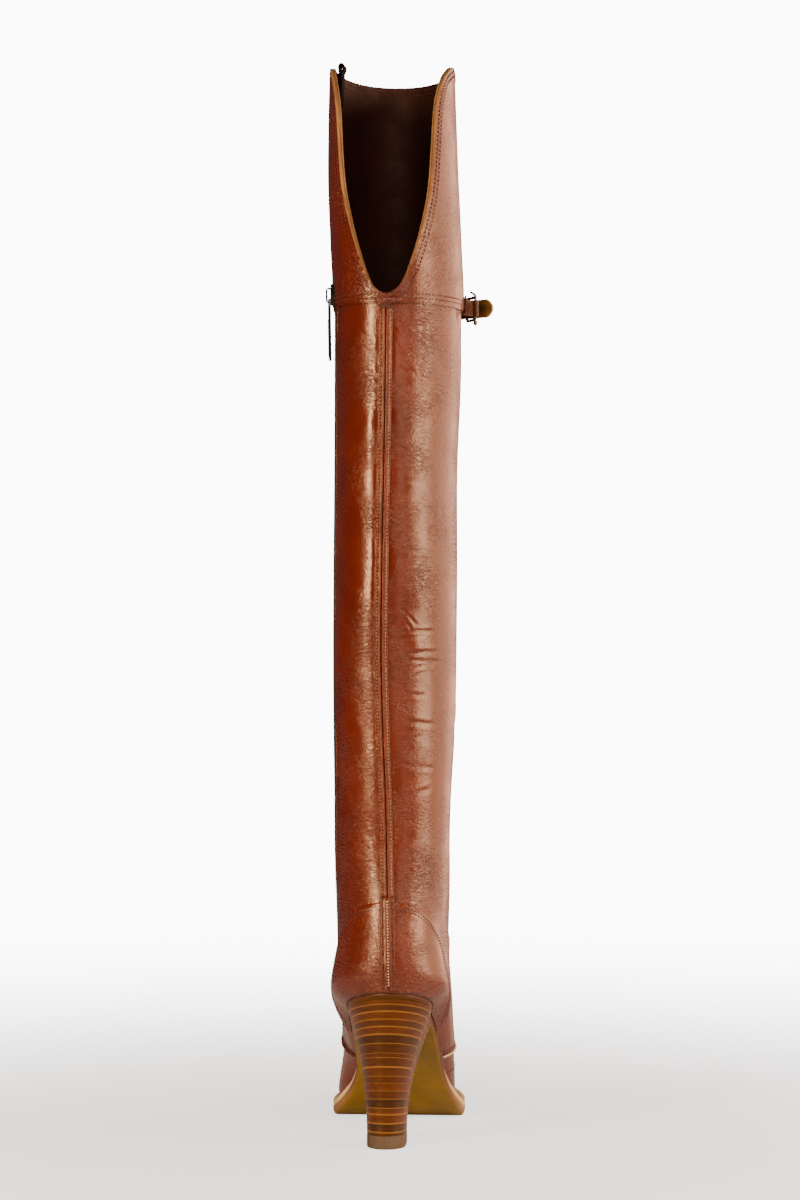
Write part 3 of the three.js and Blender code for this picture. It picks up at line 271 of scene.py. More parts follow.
def foot_section(n):
    ring = {name: foot_rings[name][n] for name in foot_rings}
    heel_half = mix(seat_width, counter_width, ring["swell"]) / 2
    heel_full = heel_half / (2 * math.sqrt(stations[2] * (1 - stations[2])))
    foot = [
        heel_full * ring["round"],
        heel_full * (1 + 0.76 * (ring["round"] - 1)),
        heel_full,
        ring["waist"] * waist_width / 2,
        ring["ball"] * ball_width / 2,
        ring["toe"] * ball_width / 2,
        ring["tip"] * ball_width / 2,
    ]
    tip = float(feather(toe_tip))
    return [
        mix(ankle[0], heel_back, ring["behind"]),
        mix(ankle[1], toe_tip, ring["ahead"]),
        mix(heel_height, ankle_height, ring["back"]),
        mix(tip, ankle_height, ring["front"]),
        ring["drape"],
        mix(3.6, ankle[5], ease(ring["back"])),
        mix(1.2, ankle[6], ease(ring["back"])),
        mix(-1.4, ankle[7], ease(ring["front"])),
        *[mix(value, ankle[8 + i], ring["leg"]) for i, value in enumerate(foot)],
    ]


sections = np.array([foot_section(n) for n in range(13)] + [leg_section(h) for h in ring_heights])
last_ring = len(sections) - 1


def skin(level, turn):
    level, turn = np.broadcast_arrays(np.asarray(level, float), np.asarray(turn, float))
    bend = (turn + 1) % 2 - 1
    at = np.clip(level, 0, last_ring)
    i = np.minimum(np.floor(at), last_ring - 1).astype(int)
    s = (at - i)[..., None]
    p0, p1, p2, p3 = (sections[np.clip(i + k, 0, last_ring)] for k in (-1, 0, 1, 2))
    ring = 2 * p1 + (p2 - p0) * s + (2 * p0 - 5 * p1 + 4 * p2 - p3) * s**2
    ring = (ring + (3 * p1 - p0 - 3 * p2 + p3) * s**3) / 2
    back_y, front_y, back_z, front_z, drape, seam, lean, swing = np.moveaxis(ring[..., :8], -1, 0)
    along = (1 - np.cos(np.abs(bend) * np.pi)) / 2
    y = mix(back_y, front_y, along)
    lift = mix(back_z - feather(back_y), front_z - feather(front_y), along)
    z = mix(mix(back_z, front_z, along), feather(y) + lift, drape)
    side = np.where(bend < 0, 1, -1) * ease(1 - level / 9)
    full = ring[..., 8:] * (1 + side[..., None] * inner_bias)
    slope = slopes(stations, full)
    j = np.clip(np.searchsorted(stations, along) - 1, 0, len(stations) - 2)
    span = stations[j + 1] - stations[j]
    pick = lambda values, n: np.take_along_axis(values, n[..., None], -1)[..., 0]
    ends = pick(full, j), pick(full, j + 1), pick(slope, j), pick(slope, j + 1)
    half = np.sin(np.abs(bend) * np.pi) * hermite((along - stations[j]) / span, span, *ends)
    x = lean + (np.where(along < 0.5, seam, swing) - lean) * (2 * along - 1) ** 2
    return np.stack([x + np.where(bend < 0, -half, half), y, z], -1)


def unit(vectors):
    return vectors / np.maximum(np.linalg.norm(vectors, axis=-1, keepdims=True), 1e-9)


def outward(level, turn):
    level = np.asarray(level, float)
    below, above = skin(np.maximum(0, level - 0.05), turn), skin(np.minimum(last_ring, level + 0.05), turn)
    around = skin(level, turn + 0.01) - skin(level, turn - 0.01)
    return unit(np.cross(around, above - below))


def proud(level, turn, rise):
    return skin(level, turn) + outward(level, turn) * np.asarray(rise, float)[..., None]


def level_where(turn, line):
    turn = np.asarray(turn, float)
    a, b = np.zeros(turn.shape), np.full(turn.shape, float(last_ring))
    for _ in range(26):
        middle = (a + b) / 2
        point = skin(middle, turn)
        low = point[..., 2] < line(point[..., 1], turn)
        a, b = np.where(low, middle, a), np.where(low, b, middle)
    return (a + b) / 2


notch_line = table(
    ["rise", "turn"],
    [
        [0, 0.012],
        [0.012, 0.036],
        [0.035, 0.062],
        [0.155, 0.119],
        [0.289, 0.168],
        [0.479, 0.221],
        [0.648, 0.246],
        [0.782, 0.267],
        [0.866, 0.297],
        [0.93, 0.339],
        [0.972, 0.395],
        [1, 0.455],
    ],
)
fine_rise = np.linspace(0, 1, 400)
fine_turn = curve(notch_line["rise"], notch_line["turn"])(fine_rise)


def collar(turn):
    away = np.abs((np.asarray(turn, float) + 1) % 2 - 1)
    rise = np.interp(away, fine_turn, fine_rise)
    return mix(knee_height, boot_height, rise)


vamp_line = table(
    ["along", "rise"],
    [
        [0.405, 0.195],
        [0.425, 0.228],
        [0.47, 0.243],
        [0.53, 0.262],
        [0.58, 0.292],
        [0.606, 0.325],
        [0.62, 0.364],
    ],
)
vamp_y = heel_back + vamp_line["along"] * foot_length
vamp_z = vamp_line["rise"] * ankle_height


def side_distance(y, z, line_y, line_z):
    """How far a point is from a line, both seen from the side, and along the line."""
    best, where = np.full(np.shape(y), 1e9), np.zeros(np.shape(y))
    run = 0.0
    for k in range(len(line_y) - 1):
        dy, dz = line_y[k + 1] - line_y[k], line_z[k + 1] - line_z[k]
        length = math.hypot(dy, dz)
        s = np.clip(((y - line_y[k]) * dy + (z - line_z[k]) * dz) / length**2, 0, 1)
        away = np.hypot(y - line_y[k] - s * dy, z - line_z[k] - s * dz)
        where = np.where(away < best, run + s * length, where)
        best = np.minimum(best, away)
        run += length
    return best, where


def ahead_of_vamp_edge(y, z):
    away, _ = side_distance(y, z, vamp_y, vamp_z)
    ahead = (y > np.interp(z, vamp_z, vamp_y)) & (z < vamp_z[-1])
    return np.where(ahead, away, -away)


zip_top = 525
zip_slot = 13.6
zip_line = table(
    ["height", "along"],
    [[0, 0.31], [0.13, 0.245], [0.27, 0.18], [0.5, 0.14], [0.8, 0.125], [1, 0.13]],
)
zip_foot = float(feather(heel_back + zip_line["along"][0] * foot_length)) + 8
zip_along = curve(zip_line["height"], zip_line["along"])
zip_share = np.linspace(0, 1, 90)
zip_y = heel_back + zip_along(zip_share) * foot_length
zip_z = mix(zip_foot, zip_top, zip_share)

# Creases of the leg, from the photograph: height and distance round the leg from the back seam, outer side positive,
# for a crease's two ends, then its depth and its width.
leg_creases = table(
    ["z0", "d0", "z1", "d1", "deep", "wide"],
    [
        [489, -16, 483, -6, 0.5, 1.6],
        [480, -14, 474, -5, 0.4, 1.4],
        [473, -9, 470, -4, 0.5, 1.2],
        [467, -13, 462, -4.5, 0.6, 1.6],
        [459, -11, 456, -4.5, 0.45, 1.3],
        [452, -12, 449, -5, 0.4, 1.2],
        [446, -10, 443, -5, 0.35, 1.2],
        [495, 7, 486, 16, 0.5, 1.7],
        [482, 6, 474, 13, 0.4, 1.5],
        [470, 8, 465, 19, 0.45, 1.6],
        [455, 7, 452, 15, 0.35, 1.4],
        [438, 8, 441, 24, 0.35, 1.8],
        [420, 7, 424, 20, 0.3, 1.6],
        [402, 9, 399, 27, 0.35, 1.9],
        [384, 7, 387, 22, 0.3, 1.6],
        [361, 9, 358, 30, 0.35, 2.0],
        [347, 13, 346, 29, 0.45, 1.3],
        [343.5, 13, 345, 27, 0.4, 1.2],
        [340, 14, 341, 26, 0.4, 1.3],
        [326, 11, 314.5, 23, 0.55, 1.4],
        [322, 12, 312, 19, 0.45, 1.3],
        [311, 13, 311.5, 38, 0.55, 1.5],
        [307.5, 12, 309, 31, 0.5, 1.4],
        [298, 14, 299.5, 42, 0.6, 1.8],
        [294, 14, 293, 46, 0.65, 1.8],
        [290.5, 14, 291.5, 40, 0.55, 1.6],
        [286, 13, 291, 28, 0.4, 1.3],
        [282, 13, 286, 24, 0.35, 1.3],
        [274, 12, 273, 30, 0.4, 1.7],
        [258, 12, 255, 38, 0.5, 2.2],
        [246, 9, 249, 26, 0.35, 1.8],
        [232, 11, 229, 34, 0.4, 2.2],
        [213, 10, 217, 30, 0.4, 2.2],
        [196, -20, 186, -7, 0.25, 1.8],
        [190, -24, 179, -9, 0.25, 1.8],
        [183, -22, 172, -8, 0.23, 1.6],
        [176, -18, 166, -6, 0.2, 1.5],
        [202, -16, 197, -6, 0.2, 1.5],
        [194, 7, 186, 20, 0.25, 1.8],
        [184, 8, 175, 24, 0.25, 2],
        [173, 7, 166, 18, 0.23, 1.6],
        [164, -9, 160, -5, 0.17, 1.2],
        [516, 60, 522, 78, 0.7, 2.4],
        [503, 62, 496, 80, 0.7, 2.4],
        [188, 92, 178, 150, 1.0, 4.5],
        [170, 96, 158, 150, 1.3, 5.0],
        [151, 100, 137, 150, 1.5, 5.5],
        [188, -92, 180, -150, 1.0, 4.5],
        [170, -96, 160, -150, 1.2, 5.0],
        [151, -100, 139, -150, 1.4, 5.5],
        [225, 96, 232, 150, 0.7, 5.0],
        [222, -98, 230, -150, 0.7, 5.0],
        [250, 70, 262, 120, 0.6, 5.0],
        [252, -70, 262, -120, 0.6, 5.0],
        [131, 88, 118, 122, 1.0, 4.0],
        [131, -88, 118, -122, 1.0, 4.0],
    ],
)
rng = np.random.default_rng(7)
small = []
for z in np.arange(206, 436, 2.9):
    start = -4.4 - rng.uniform(0, 1.6)
    length = rng.uniform(2.5, 7.5)
    tilt = rng.uniform(-1.6, 1.6)
    small.append([z + rng.uniform(-0.9, 0.9), start, z + tilt, start - length, rng.uniform(0.12, 0.34), 0.9])
    if rng.uniform() < 0.55:
        start = 5 + rng.uniform(0, 2)
        length = rng.uniform(3, 9)
        small.append([z, start, z - tilt, start + length, rng.uniform(0.1, 0.26), 0.9])
small = np.array(small)


def crease_depth(z, d):
    depth = np.zeros(z.shape)
    rows = [[leg_creases[name][k] for name in leg_creases] for k in range(len(leg_creases["z0"]))]
    for z0, d0, z1, d1, deep, wide in [*rows, *small.tolist()]:
        if abs(d1) < 60:
            deep, wide = 0.62 * deep, 0.62 * wide
        near = (z > min(z0, z1) - 4 * wide) & (z < max(z0, z1) + 4 * wide)
        near &= (d > min(d0, d1) - 5 * wide) & (d < max(d0, d1) + 5 * wide)
        if not near.any():
            continue
        dz, dd = z1 - z0, d1 - d0
        length = math.hypot(dz, dd)
        run = ((z[near] - z0) * dz + (d[near] - d0) * dd) / length
        away = ((z[near] - z0) * dd - (d[near] - d0) * dz) / length
        away = away + 0.12 * wide * np.sin(run * 2.4 / wide + z0)
        past = np.maximum(np.maximum(-run, run - length), 0) / (1.6 * wide)
        taper = np.exp(-(past**2)) * np.clip(1.15 - np.abs(2 * run / length - 1) ** 3, 0, 1)
        dip = np.exp(-((away / wide) ** 2))
        swell = 0.55 * np.exp(-(((np.abs(away) - 2 * wide) / (0.9 * wide)) ** 2))
        depth[near] += deep * taper * (dip - swell)
    return depth


def grid(rows, cols, closed=False, start=0, flip=False):
    r = np.arange(rows - 1)[:, None]
    c = np.arange(cols if closed else cols - 1)[None, :]
    a, b = start + r * cols + c, start + r * cols + (c + 1) % cols
    quads = np.stack([a, b, b + cols, a + cols], -1).reshape(-1, 4)
    return quads[:, ::-1] if flip else quads


def add_piece(name, points, faces, finishes, nodes=(), body="boot", faces_finish=None, uv=None, tint=None, sharp=38):
    """One mesh, given in millimetres, that rides on a body of the frame."""
    mesh = bpy.data.meshes.new(name)
    mesh.from_pydata((np.asarray(points) * 0.001).tolist(), [], [list(map(int, f)) for f in faces])
    for finish in finishes:
        mesh.materials.append(finish)
    if faces_finish is not None:
        mesh.polygons.foreach_set("material_index", np.asarray(faces_finish, dtype=np.int32))
    corner = np.empty(len(mesh.loops), dtype=np.int32)
    mesh.loops.foreach_get("vertex_index", corner)
    if uv is not None:
        layer = mesh.uv_layers.new(name="lay")
        layer.data.foreach_set("uv", np.asarray(uv, dtype=np.float32)[corner].ravel())
    if tint is not None:
        layer = mesh.color_attributes.new("tint", "FLOAT_COLOR", "POINT")
        colour = np.ones((len(points), 4), dtype=np.float32)
        colour[:, :3] = np.asarray(tint, dtype=np.float32)
        layer.data.foreach_set("color", colour.ravel())
    mesh.polygons.foreach_set("use_smooth", np.ones(len(mesh.polygons), dtype=bool))
    mesh.set_sharp_from_angle(angle=math.radians(sharp))
    mesh.update()
    piece = bpy.data.objects.new(name, mesh)
    bpy.context.scene.collection.objects.link(piece)
    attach(piece, body)
    for node in nodes:
        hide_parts(node)
    return piece


def leather(name, base, deep, rough, grain=1.0, coat=0.3, wrinkle=0.0, lean=0.0):
    """Dressed leather: mottled dye, a fine pebbled grain and the finish's uneven gloss."""
    material, nodes, links, surface = shader(name)
    place = nodes.new("ShaderNodeTexCoord")
    mottle = nodes.new("ShaderNodeTexNoise")
    mottle.inputs["Scale"].default_value = 26
    mottle.inputs["Detail"].default_value = 7
    mottle.inputs["Roughness"].default_value = 0.62
    dye = nodes.new("ShaderNodeValToRGB")
    dye.color_ramp.elements[0].position = 0.34
    dye.color_ramp.elements[0].color = (*deep, 1)
    dye.color_ramp.elements[1].position = 0.68
    dye.color_ramp.elements[1].color = (*base, 1)
    # The vertex colour "tint" multiplies the dye; on several pieces it carries painted shade and painted highlight
    # besides the leather's own tones.
    second_tone = nodes.new("ShaderNodeVertexColor")
    second_tone.layer_name = "tint"
    tinted = nodes.new("ShaderNodeMix")
    tinted.data_type = "RGBA"
    tinted.blend_type = "MULTIPLY"
    tinted.inputs["Factor"].default_value = 1
    pebble = nodes.new("ShaderNodeTexVoronoi")
    pebble.feature = "SMOOTH_F1"
    pebble.inputs["Scale"].default_value = 850 / grain
    pores = nodes.new("ShaderNodeTexNoise")
    pores.inputs["Scale"].default_value = 480 / grain
    pores.inputs["Detail"].default_value = 8
    both = nodes.new("ShaderNodeMath")
    both.operation = "ADD"
    fine = nodes.new("ShaderNodeBump")
    fine.inputs["Strength"].default_value = 0.4
    fine.inputs["Distance"].default_value = 0.00022
    gloss = nodes.new("ShaderNodeTexNoise")
    gloss.inputs["Scale"].default_value = 75
    gloss.inputs["Detail"].default_value = 5
    spread = nodes.new("ShaderNodeMapRange")
    spread.inputs["To Min"].default_value = rough * 0.72
    spread.inputs["To Max"].default_value = rough * 1.35
    for texture in (mottle, pebble, pores, gloss):
        links.new(place.outputs["Object"], texture.inputs["Vector"])
    links.new(mottle.outputs["Fac"], dye.inputs["Fac"])
    links.new(dye.outputs["Color"], tinted.inputs["A"])
    links.new(second_tone.outputs["Color"], tinted.inputs["B"])
    links.new(tinted.outputs["Result"], surface.inputs["Base Color"])
    links.new(pebble.outputs["Distance"], both.inputs[0])
    links.new(pores.outputs["Fac"], both.inputs[1])
    links.new(both.outputs[0], fine.inputs["Height"])
    links.new(gloss.outputs["Fac"], spread.inputs["Value"])
    links.new(spread.outputs["Result"], surface.inputs["Roughness"])
    links.new(fine.outputs["Normal"], surface.inputs["Normal"])
    if wrinkle:
        flat = nodes.new("ShaderNodeMapping")
        flat.vector_type = "TEXTURE"
        flat.inputs["Rotation"].default_value = (lean, 0, 0)
        flat.inputs["Scale"].default_value = (1, 1, 0.3)
        folds = nodes.new("ShaderNodeTexNoise")
        folds.inputs["Scale"].default_value = 210
        folds.inputs["Detail"].default_value = 3
        folds.inputs["Roughness"].default_value = 0.55
        folds.inputs["Distortion"].default_value = 0.6
        slack_area = nodes.new("ShaderNodeTexNoise")
        slack_area.inputs["Scale"].default_value = 34
        slack_area.inputs["Detail"].default_value = 2
        where = nodes.new("ShaderNodeMapRange")
        where.inputs["From Min"].default_value = 0.4
        where.inputs["From Max"].default_value = 0.66
        middle = nodes.new("ShaderNodeMath")
        middle.operation = "SUBTRACT"
        middle.inputs[1].default_value = 0.5
        valley = nodes.new("ShaderNodeMath")
        valley.operation = "ABSOLUTE"
        thin = nodes.new("ShaderNodeMapRange")
        thin.interpolation_type = "SMOOTHSTEP"
        thin.inputs["From Max"].default_value = 0.11
        depth = nodes.new("ShaderNodeMath")
        depth.operation = "MULTIPLY"
        broad = nodes.new("ShaderNodeBump")
        broad.inputs["Strength"].default_value = 0.7
        broad.inputs["Distance"].default_value = wrinkle
        links.new(place.outputs["Object"], flat.inputs["Vector"])
        links.new(flat.outputs["Vector"], folds.inputs["Vector"])
        links.new(place.outputs["Object"], slack_area.inputs["Vector"])
        links.new(slack_area.outputs["Fac"], where.inputs["Value"])
        links.new(folds.outputs["Fac"], middle.inputs[0])
        links.new(middle.outputs[0], valley.inputs[0])
        links.new(valley.outputs[0], thin.inputs["Value"])
        links.new(thin.outputs["Result"], depth.inputs[0])
        links.new(where.outputs["Result"], depth.inputs[1])
        links.new(depth.outputs[0], broad.inputs["Height"])
        links.new(broad.outputs["Normal"], fine.inputs["Normal"])
    surface.inputs["Specular Tint"].default_value = (1, 0.66, 0.46, 1)
    if coat:
        surface.inputs["Coat Weight"].default_value = coat
        surface.inputs["Coat Roughness"].default_value = 0.2
    return material


cognac = leather("cognac_leather", (0.12, 0.0088, 0.00025), (0.075, 0.005, 0.0002), 0.24, 1.0, 0.06, 0.0004)
slack_cognac = leather(
    "slack_cognac_leather", (0.12, 0.0088, 0.00025), (0.075, 0.005, 0.0002), 0.26, 1.0, 0.06, 0.0004, 0.95
)
for dyed in (cognac, slack_cognac):
    dyed.node_tree.nodes["Principled BSDF"].inputs["Specular IOR Level"].default_value = 0.85
lining = leather("lining_leather", (0.03, 0.002, 0.0006), (0.016, 0.001, 0.0004), 0.7, 1.4, 0.0)
raw_edge = leather("raw_cut_edge", (0.38, 0.17, 0.055), (0.2, 0.075, 0.02), 0.75, 0.7, 0.0)

columns = 220
turns = np.linspace(-1, 1, columns + 1)[:-1]
turns = 0.6 * turns + 0.4 * turns**3
seam_column = columns // 2
leg_start = 13.0
leg_z = np.arange(214, 501, 1.25)
leg_levels = level_where(np.zeros(len(leg_z)), lambda y, turn: leg_z)
foot_levels = np.linspace(0, leg_start, 100)
fixed_levels = np.concatenate([foot_levels, leg_levels[leg_levels > leg_start + 0.02]])
top_level = level_where(turns, lambda y, turn: collar(turn))
rim_share = np.linspace(0, 1, 13)[1:, None]
levels = np.vstack(
    [
        np.repeat(fixed_levels[:, None], columns, axis=1),
        mix(fixed_levels[-1], top_level[None, :], rim_share),
    ]
)
turn_grid = np.broadcast_to(turns, levels.shape)
outer = skin(levels, turn_grid)
normal = outward(levels, turn_grid)


def around_leg(points):
    """Distance of each point of a ring grid from the back seam, round the leg."""
    step = np.linalg.norm(np.roll(points, -1, axis=1) - points, axis=2)
    right = np.cumsum(step[:, seam_column:], axis=1)
    right = np.hstack([np.zeros((len(points), 1)), right[:, :-1]])
    left = -np.cumsum(step[:, :seam_column][:, ::-1], axis=1)[:, ::-1]
    return np.hstack([left, right])


around = around_leg(outer)
height = outer[..., 2]
vamp_side = ahead_of_vamp_edge(outer[..., 1], height)
zip_away, _ = side_distance(outer[..., 1], height, zip_y, zip_z)
zip_away = np.where(outer[..., 0] < 0, zip_away, 99.0)
fold = crease_depth(height, around)
slack = 0.35 * np.sin(height / 29 + 1.1) * np.sin(around / 23 + 0.6)
slack += 0.25 * np.sin(height / 17 - around / 31 + 2.0)
slack *= ease((height - 120) / 60) * ease((500 - height) / 30) * ease((np.abs(around) - 3) / 8)
for z, d, size, rise in [(331, 23, 5, 0.6), (303, 23, 5, 0.5), (436, -9, 5, 0.5), (417, -8, 6, 0.35)]:
    slack += rise * np.exp(-(((height - z) / size) ** 2) - ((around - d) / (0.9 * size)) ** 2)
offset = slack - fold - vamp_step * ease(0.5 + vamp_side / 1.6)
offset -= 2.6 * ease((6.9 - zip_away) / 1.6)
offset -= 0.25 * np.exp(-(((np.abs(around) - 4.3) / 0.9) ** 2)) * ease((height - 158) / 12) * ease((500 - height) / 8)
shown = outer + normal * offset[..., None]
# Painted shade and highlight: the colour is darker in the dips of the creases and lighter on their swollen lips.
tint = 1 - 0.42 * np.clip(fold, 0, 1)[..., None] + 0.16 * np.clip(-fold, 0, 1)[..., None]
# Painted shade: darker on the vamp just ahead of the leg's lapped edge.
tint = tint * (1 - 0.35 * np.exp(-((vamp_side - 0.6) / 0.7) ** 2))[..., None]
# Painted shade: darker along the upper's bottom edge, at its joint with the welt and sole.
foot_low = np.exp(-((levels / 0.22) ** 2))
tint = tint * (1 - 0.4 * foot_low[..., None])
tint = np.repeat(tint, 3, axis=2)
spot = np.exp(-(((height - 221) / 0.9) ** 2) - ((around - 36) / 0.8) ** 2)
tint[..., 1:] *= 1 - 0.8 * spot[..., None]
tint[..., 0] *= 1 + 0.5 * spot

inner_rows = 48
inner_pick = np.linspace(0, len(levels) - 1, inner_rows).round().astype(int)
inner = (outer + normal * (offset * 0.5 * (offset > -1.5))[..., None])[inner_pick]
inner = inner - normal[inner_pick] * wall
points = np.vstack([shown.reshape(-1, 3), inner.reshape(-1, 3)])
count = shown.shape[0] * columns
column = np.arange(columns)
following = (column + 1) % columns
rim_shades = np.array([1.0, 0.3, 0.5, 0.75, 1.1])


def raw_rim(from_row, to_row, shades, first):
    """The cut edge between two closed rows: its layers' shades, speckled, and its points."""
    share = np.linspace(0, 1, len(shades))[:, None, None]
    rows = from_row + (to_row - from_row) * share
    speckle = 1 + 0.22 * rng.standard_normal((len(shades), columns))
    shade = np.repeat((shades[:, None] * np.clip(speckle, 0.5, 1.5)).reshape(-1, 1), 3, axis=1)
    return rows.reshape(-1, 3), shade, grid(len(shades), columns, True, first)


rim_points, rim_tint, rim = raw_rim(shown[-1], inner[-1], rim_shades, len(points))
points = np.vstack([points, rim_points])
foot_rim = np.stack([count + column, count + following, following, column], 1)
outer_faces = grid(len(levels), columns, True)
inner_faces = grid(inner_rows, columns, True, count, True)
faces = np.vstack([outer_faces, inner_faces, rim, foot_rim])
finish_of = [0] * len(outer_faces) + [1] * len(inner_faces) + [2] * len(rim) + [0] * len(foot_rim)
upper_tint = np.vstack([tint.reshape(-1, 3), np.ones((inner.size // 3, 3)), rim_tint])
add_piece("upper_leather", points, faces, [cognac, lining, raw_edge], ["upper"], faces_finish=finish_of, tint=upper_tint)


# CUFF. A facing of the same leather lapped over the leg at the knee and cut with it round the
# notch and the collar; the two layers' pale raw edges show, sewn together near the rim.
facing = 1.3
lap_z = knee_height - 6
cuff_rows = 92
cuff_start = level_where(turns, lambda y, turn: lap_z)
share = np.linspace(0, 1, cuff_rows)[:, None]
cuff_levels = mix(cuff_start[None, :], top_level[None, :], share)
cuff_skin = skin(cuff_levels, np.broadcast_to(turns, cuff_levels.shape))
cuff_normal = outward(cuff_levels, np.broadcast_to(turns, cuff_levels.shape))
cuff_around = around_leg(cuff_skin)
cuff_z = cuff_skin[..., 2]
from_rim = np.minimum(collar(turns)[None, :] - cuff_z, 200)
cuff_zip, _ = side_distance(cuff_skin[..., 1], cuff_z, zip_y, zip_z)
cuff_zip = np.where(cuff_skin[..., 0] < 0, cuff_zip, 99.0)
cuff_fold = crease_depth(cuff_z, cuff_around)
cuff_slack = 0.3 * np.sin(cuff_z / 26 + 2) * np.sin(cuff_around / 30) * ease((cuff_z - 520) / 30)
cuff_out = gap + facing + cuff_slack - cuff_fold
cuff_out -= 0.4 * ease((1.6 - (cuff_z - lap_z)) / 1.6)
cuff_out -= 0.25 * np.exp(-(((cuff_z - 509) / 0.9) ** 2)) + 0.25 * np.exp(-(((cuff_z - 511.6) / 0.9) ** 2))
cuff_out = np.where(cuff_zip < 6.9, -0.4, cuff_out)
cuff_face = cuff_skin + cuff_normal * cuff_out[..., None]
cuff_back = cuff_skin[[0, 30, 60, -1]] + cuff_normal[[0, 30, 60, -1]] * 0.12
cuff_points = np.vstack([cuff_face.reshape(-1, 3), cuff_back.reshape(-1, 3)])
count = cuff_rows * columns
facing_shades = np.array([0.55, 0.95, 0.8, 1.0])
rim_points, rim_tint, cuff_rim = raw_rim(cuff_face[-1], cuff_back[-1], facing_shades, len(cuff_points))
cuff_points = np.vstack([cuff_points, rim_points])
lap_rim = np.stack([count + column, count + following, following, column], 1)
cuff_outer = grid(cuff_rows, columns, True)
cuff_inner = grid(4, columns, True, count, True)
cuff_faces = np.vstack([cuff_outer, cuff_inner, cuff_rim, lap_rim])
finish_of = [0] * len(cuff_outer) + [1] * len(cuff_inner) + [2] * len(cuff_rim) + [0] * len(lap_rim)
# Painted shade: darker in the dips of the creases and along the lapped lower edge.
cuff_tint = 1 - 0.4 * np.clip(cuff_fold, 0, 1) - 0.25 * ease((1.4 - (cuff_z - lap_z)) / 1.4)
cuff_tint = np.repeat(cuff_tint.reshape(-1, 1), 3, axis=1)
cuff_tint = np.vstack([cuff_tint, np.ones((cuff_back.size // 3, 3)), rim_tint])
add_piece("cuff_facing", cuff_points, cuff_faces, [slack_cognac, lining, raw_edge], ["cuff"], faces_finish=finish_of, tint=cuff_tint)


# THREAD. Lockstitches of waxed thread in rows: each stitch is a short bowed strand whose ends
# dip into their holes.
def thread(name, base, deep):
    material, nodes, links, surface = shader(name)
    place = nodes.new("ShaderNodeTexCoord")
    twist = nodes.new("ShaderNodeTexNoise")
    twist.inputs["Scale"].default_value = 900
    twist.inputs["Detail"].default_value = 3
    dye = nodes.new("ShaderNodeValToRGB")
    dye.color_ramp.elements[0].color = (*deep, 1)
    dye.color_ramp.elements[1].color = (*base, 1)
    relief = nodes.new("ShaderNodeBump")
    relief.inputs["Strength"].default_value = 0.5
    relief.inputs["Distance"].default_value = 0.0001
    links.new(place.outputs["Object"], twist.inputs["Vector"])
    links.new(twist.outputs["Fac"], dye.inputs["Fac"])
    links.new(dye.outputs["Color"], surface.inputs["Base Color"])
    links.new(twist.outputs["Fac"], relief.inputs["Height"])
    links.new(relief.outputs["Normal"], surface.inputs["Normal"])
    surface.inputs["Roughness"].default_value = 0.55
    return material


brown_thread = thread("brown_thread", (0.10, 0.018, 0.004), (0.04, 0.006, 0.002))
tan_thread = thread("tan_thread", (0.52, 0.20, 0.065), (0.30, 0.10, 0.028))
cream_thread = thread("cream_thread", (0.8, 0.6, 0.36), (0.6, 0.42, 0.22))


def beads(middle, ahead, up, length, radius):
    """Short bowed strands, each with its ends dipped: points and faces for arrays of places."""
    rings, sides = 5, 6
    s = np.linspace(-0.5, 0.5, rings)
    angle = np.linspace(0, 2 * np.pi, sides, endpoint=False)
    thick = radius * np.array([0.35, 0.9, 1, 0.9, 0.35])
    rise = radius * np.array([-0.8, 0.25, 0.5, 0.25, -0.8])
    up = unit(up)
    ahead = unit(ahead - up * np.sum(ahead * up, axis=1, keepdims=True))
    aside = np.cross(ahead, up)
    along = np.repeat(s * length, sides)[None, :, None]
    out = (rise[:, None] + thick[:, None] * np.sin(angle)).ravel()[None, :, None]
    across = (thick[:, None] * np.cos(angle)).ravel()[None, :, None]
    points = middle[:, None] + along * ahead[:, None] + out * up[:, None] + across * aside[:, None]
    quads = grid(rings, sides, True)[None] + (np.arange(len(middle)) * rings * sides)[:, None, None]
    return points.reshape(-1, 3), quads.reshape(-1, 4)


def at_run(path, run, at):
    return np.stack([np.interp(at, run, path[:, k]) for k in range(3)], 1)


def stitches(name, runs, pitch, length, radius, finish):
    """Rows of stitches along runs, each a path and the surface's normals along it."""
    points, quads, total = [], [], 0
    for path, normals in runs:
        run = np.concatenate([[0], np.cumsum(np.linalg.norm(np.diff(path, axis=0), axis=1))])
        at = np.arange(pitch / 2, run[-1] - pitch / 2, pitch)
        middle = at_run(path, run, at)
        ahead = at_run(path, run, at + 0.4) - middle
        some, faces = beads(middle, ahead, at_run(normals, run, at), length, radius)
        points.append(some)
        quads.append(faces + total)
        total += len(some)
    return add_piece(name, np.vstack(points), np.vstack(quads), [finish], sharp=80)


def on_skin(level, turn, rise):
    return proud(level, turn, rise), outward(level, turn)


def level_ring(z, rise, start=-0.995, end=0.995):
    turn = np.linspace(start, end, 400)
    return on_skin(level_where(turn, lambda y, t: z), turn, rise)


def rim_run(inset, rise):
    """Along the notch and the collar, a distance in from the cut edge, on both sides."""
    turn = np.concatenate([np.linspace(0.016, 0.5, 500), np.linspace(0.502, 0.998, 200)])
    edge_level = level_where(turn, lambda y, t: collar(t))
    edge = skin(edge_level, turn)
    run = unit(np.gradient(edge, axis=0))
    inwards = unit(np.cross(outward(edge_level, turn), run))
    moved = edge - inwards * inset
    moved[:, 2] = np.minimum(moved[:, 2], boot_height - inset)
    side = outward(edge_level, turn)
    outer_side = moved + side * rise, side
    turn = -turn
    edge_level = level_where(turn, lambda y, t: collar(t))
    edge = skin(edge_level, turn)
    run = unit(np.gradient(edge, axis=0))
    inwards = unit(np.cross(run, outward(edge_level, turn)))
    moved = edge - inwards * inset
    moved[:, 2] = np.minimum(moved[:, 2], boot_height - inset)
    side = outward(edge_level, turn)
    return [outer_side, (moved + side * rise, side)]


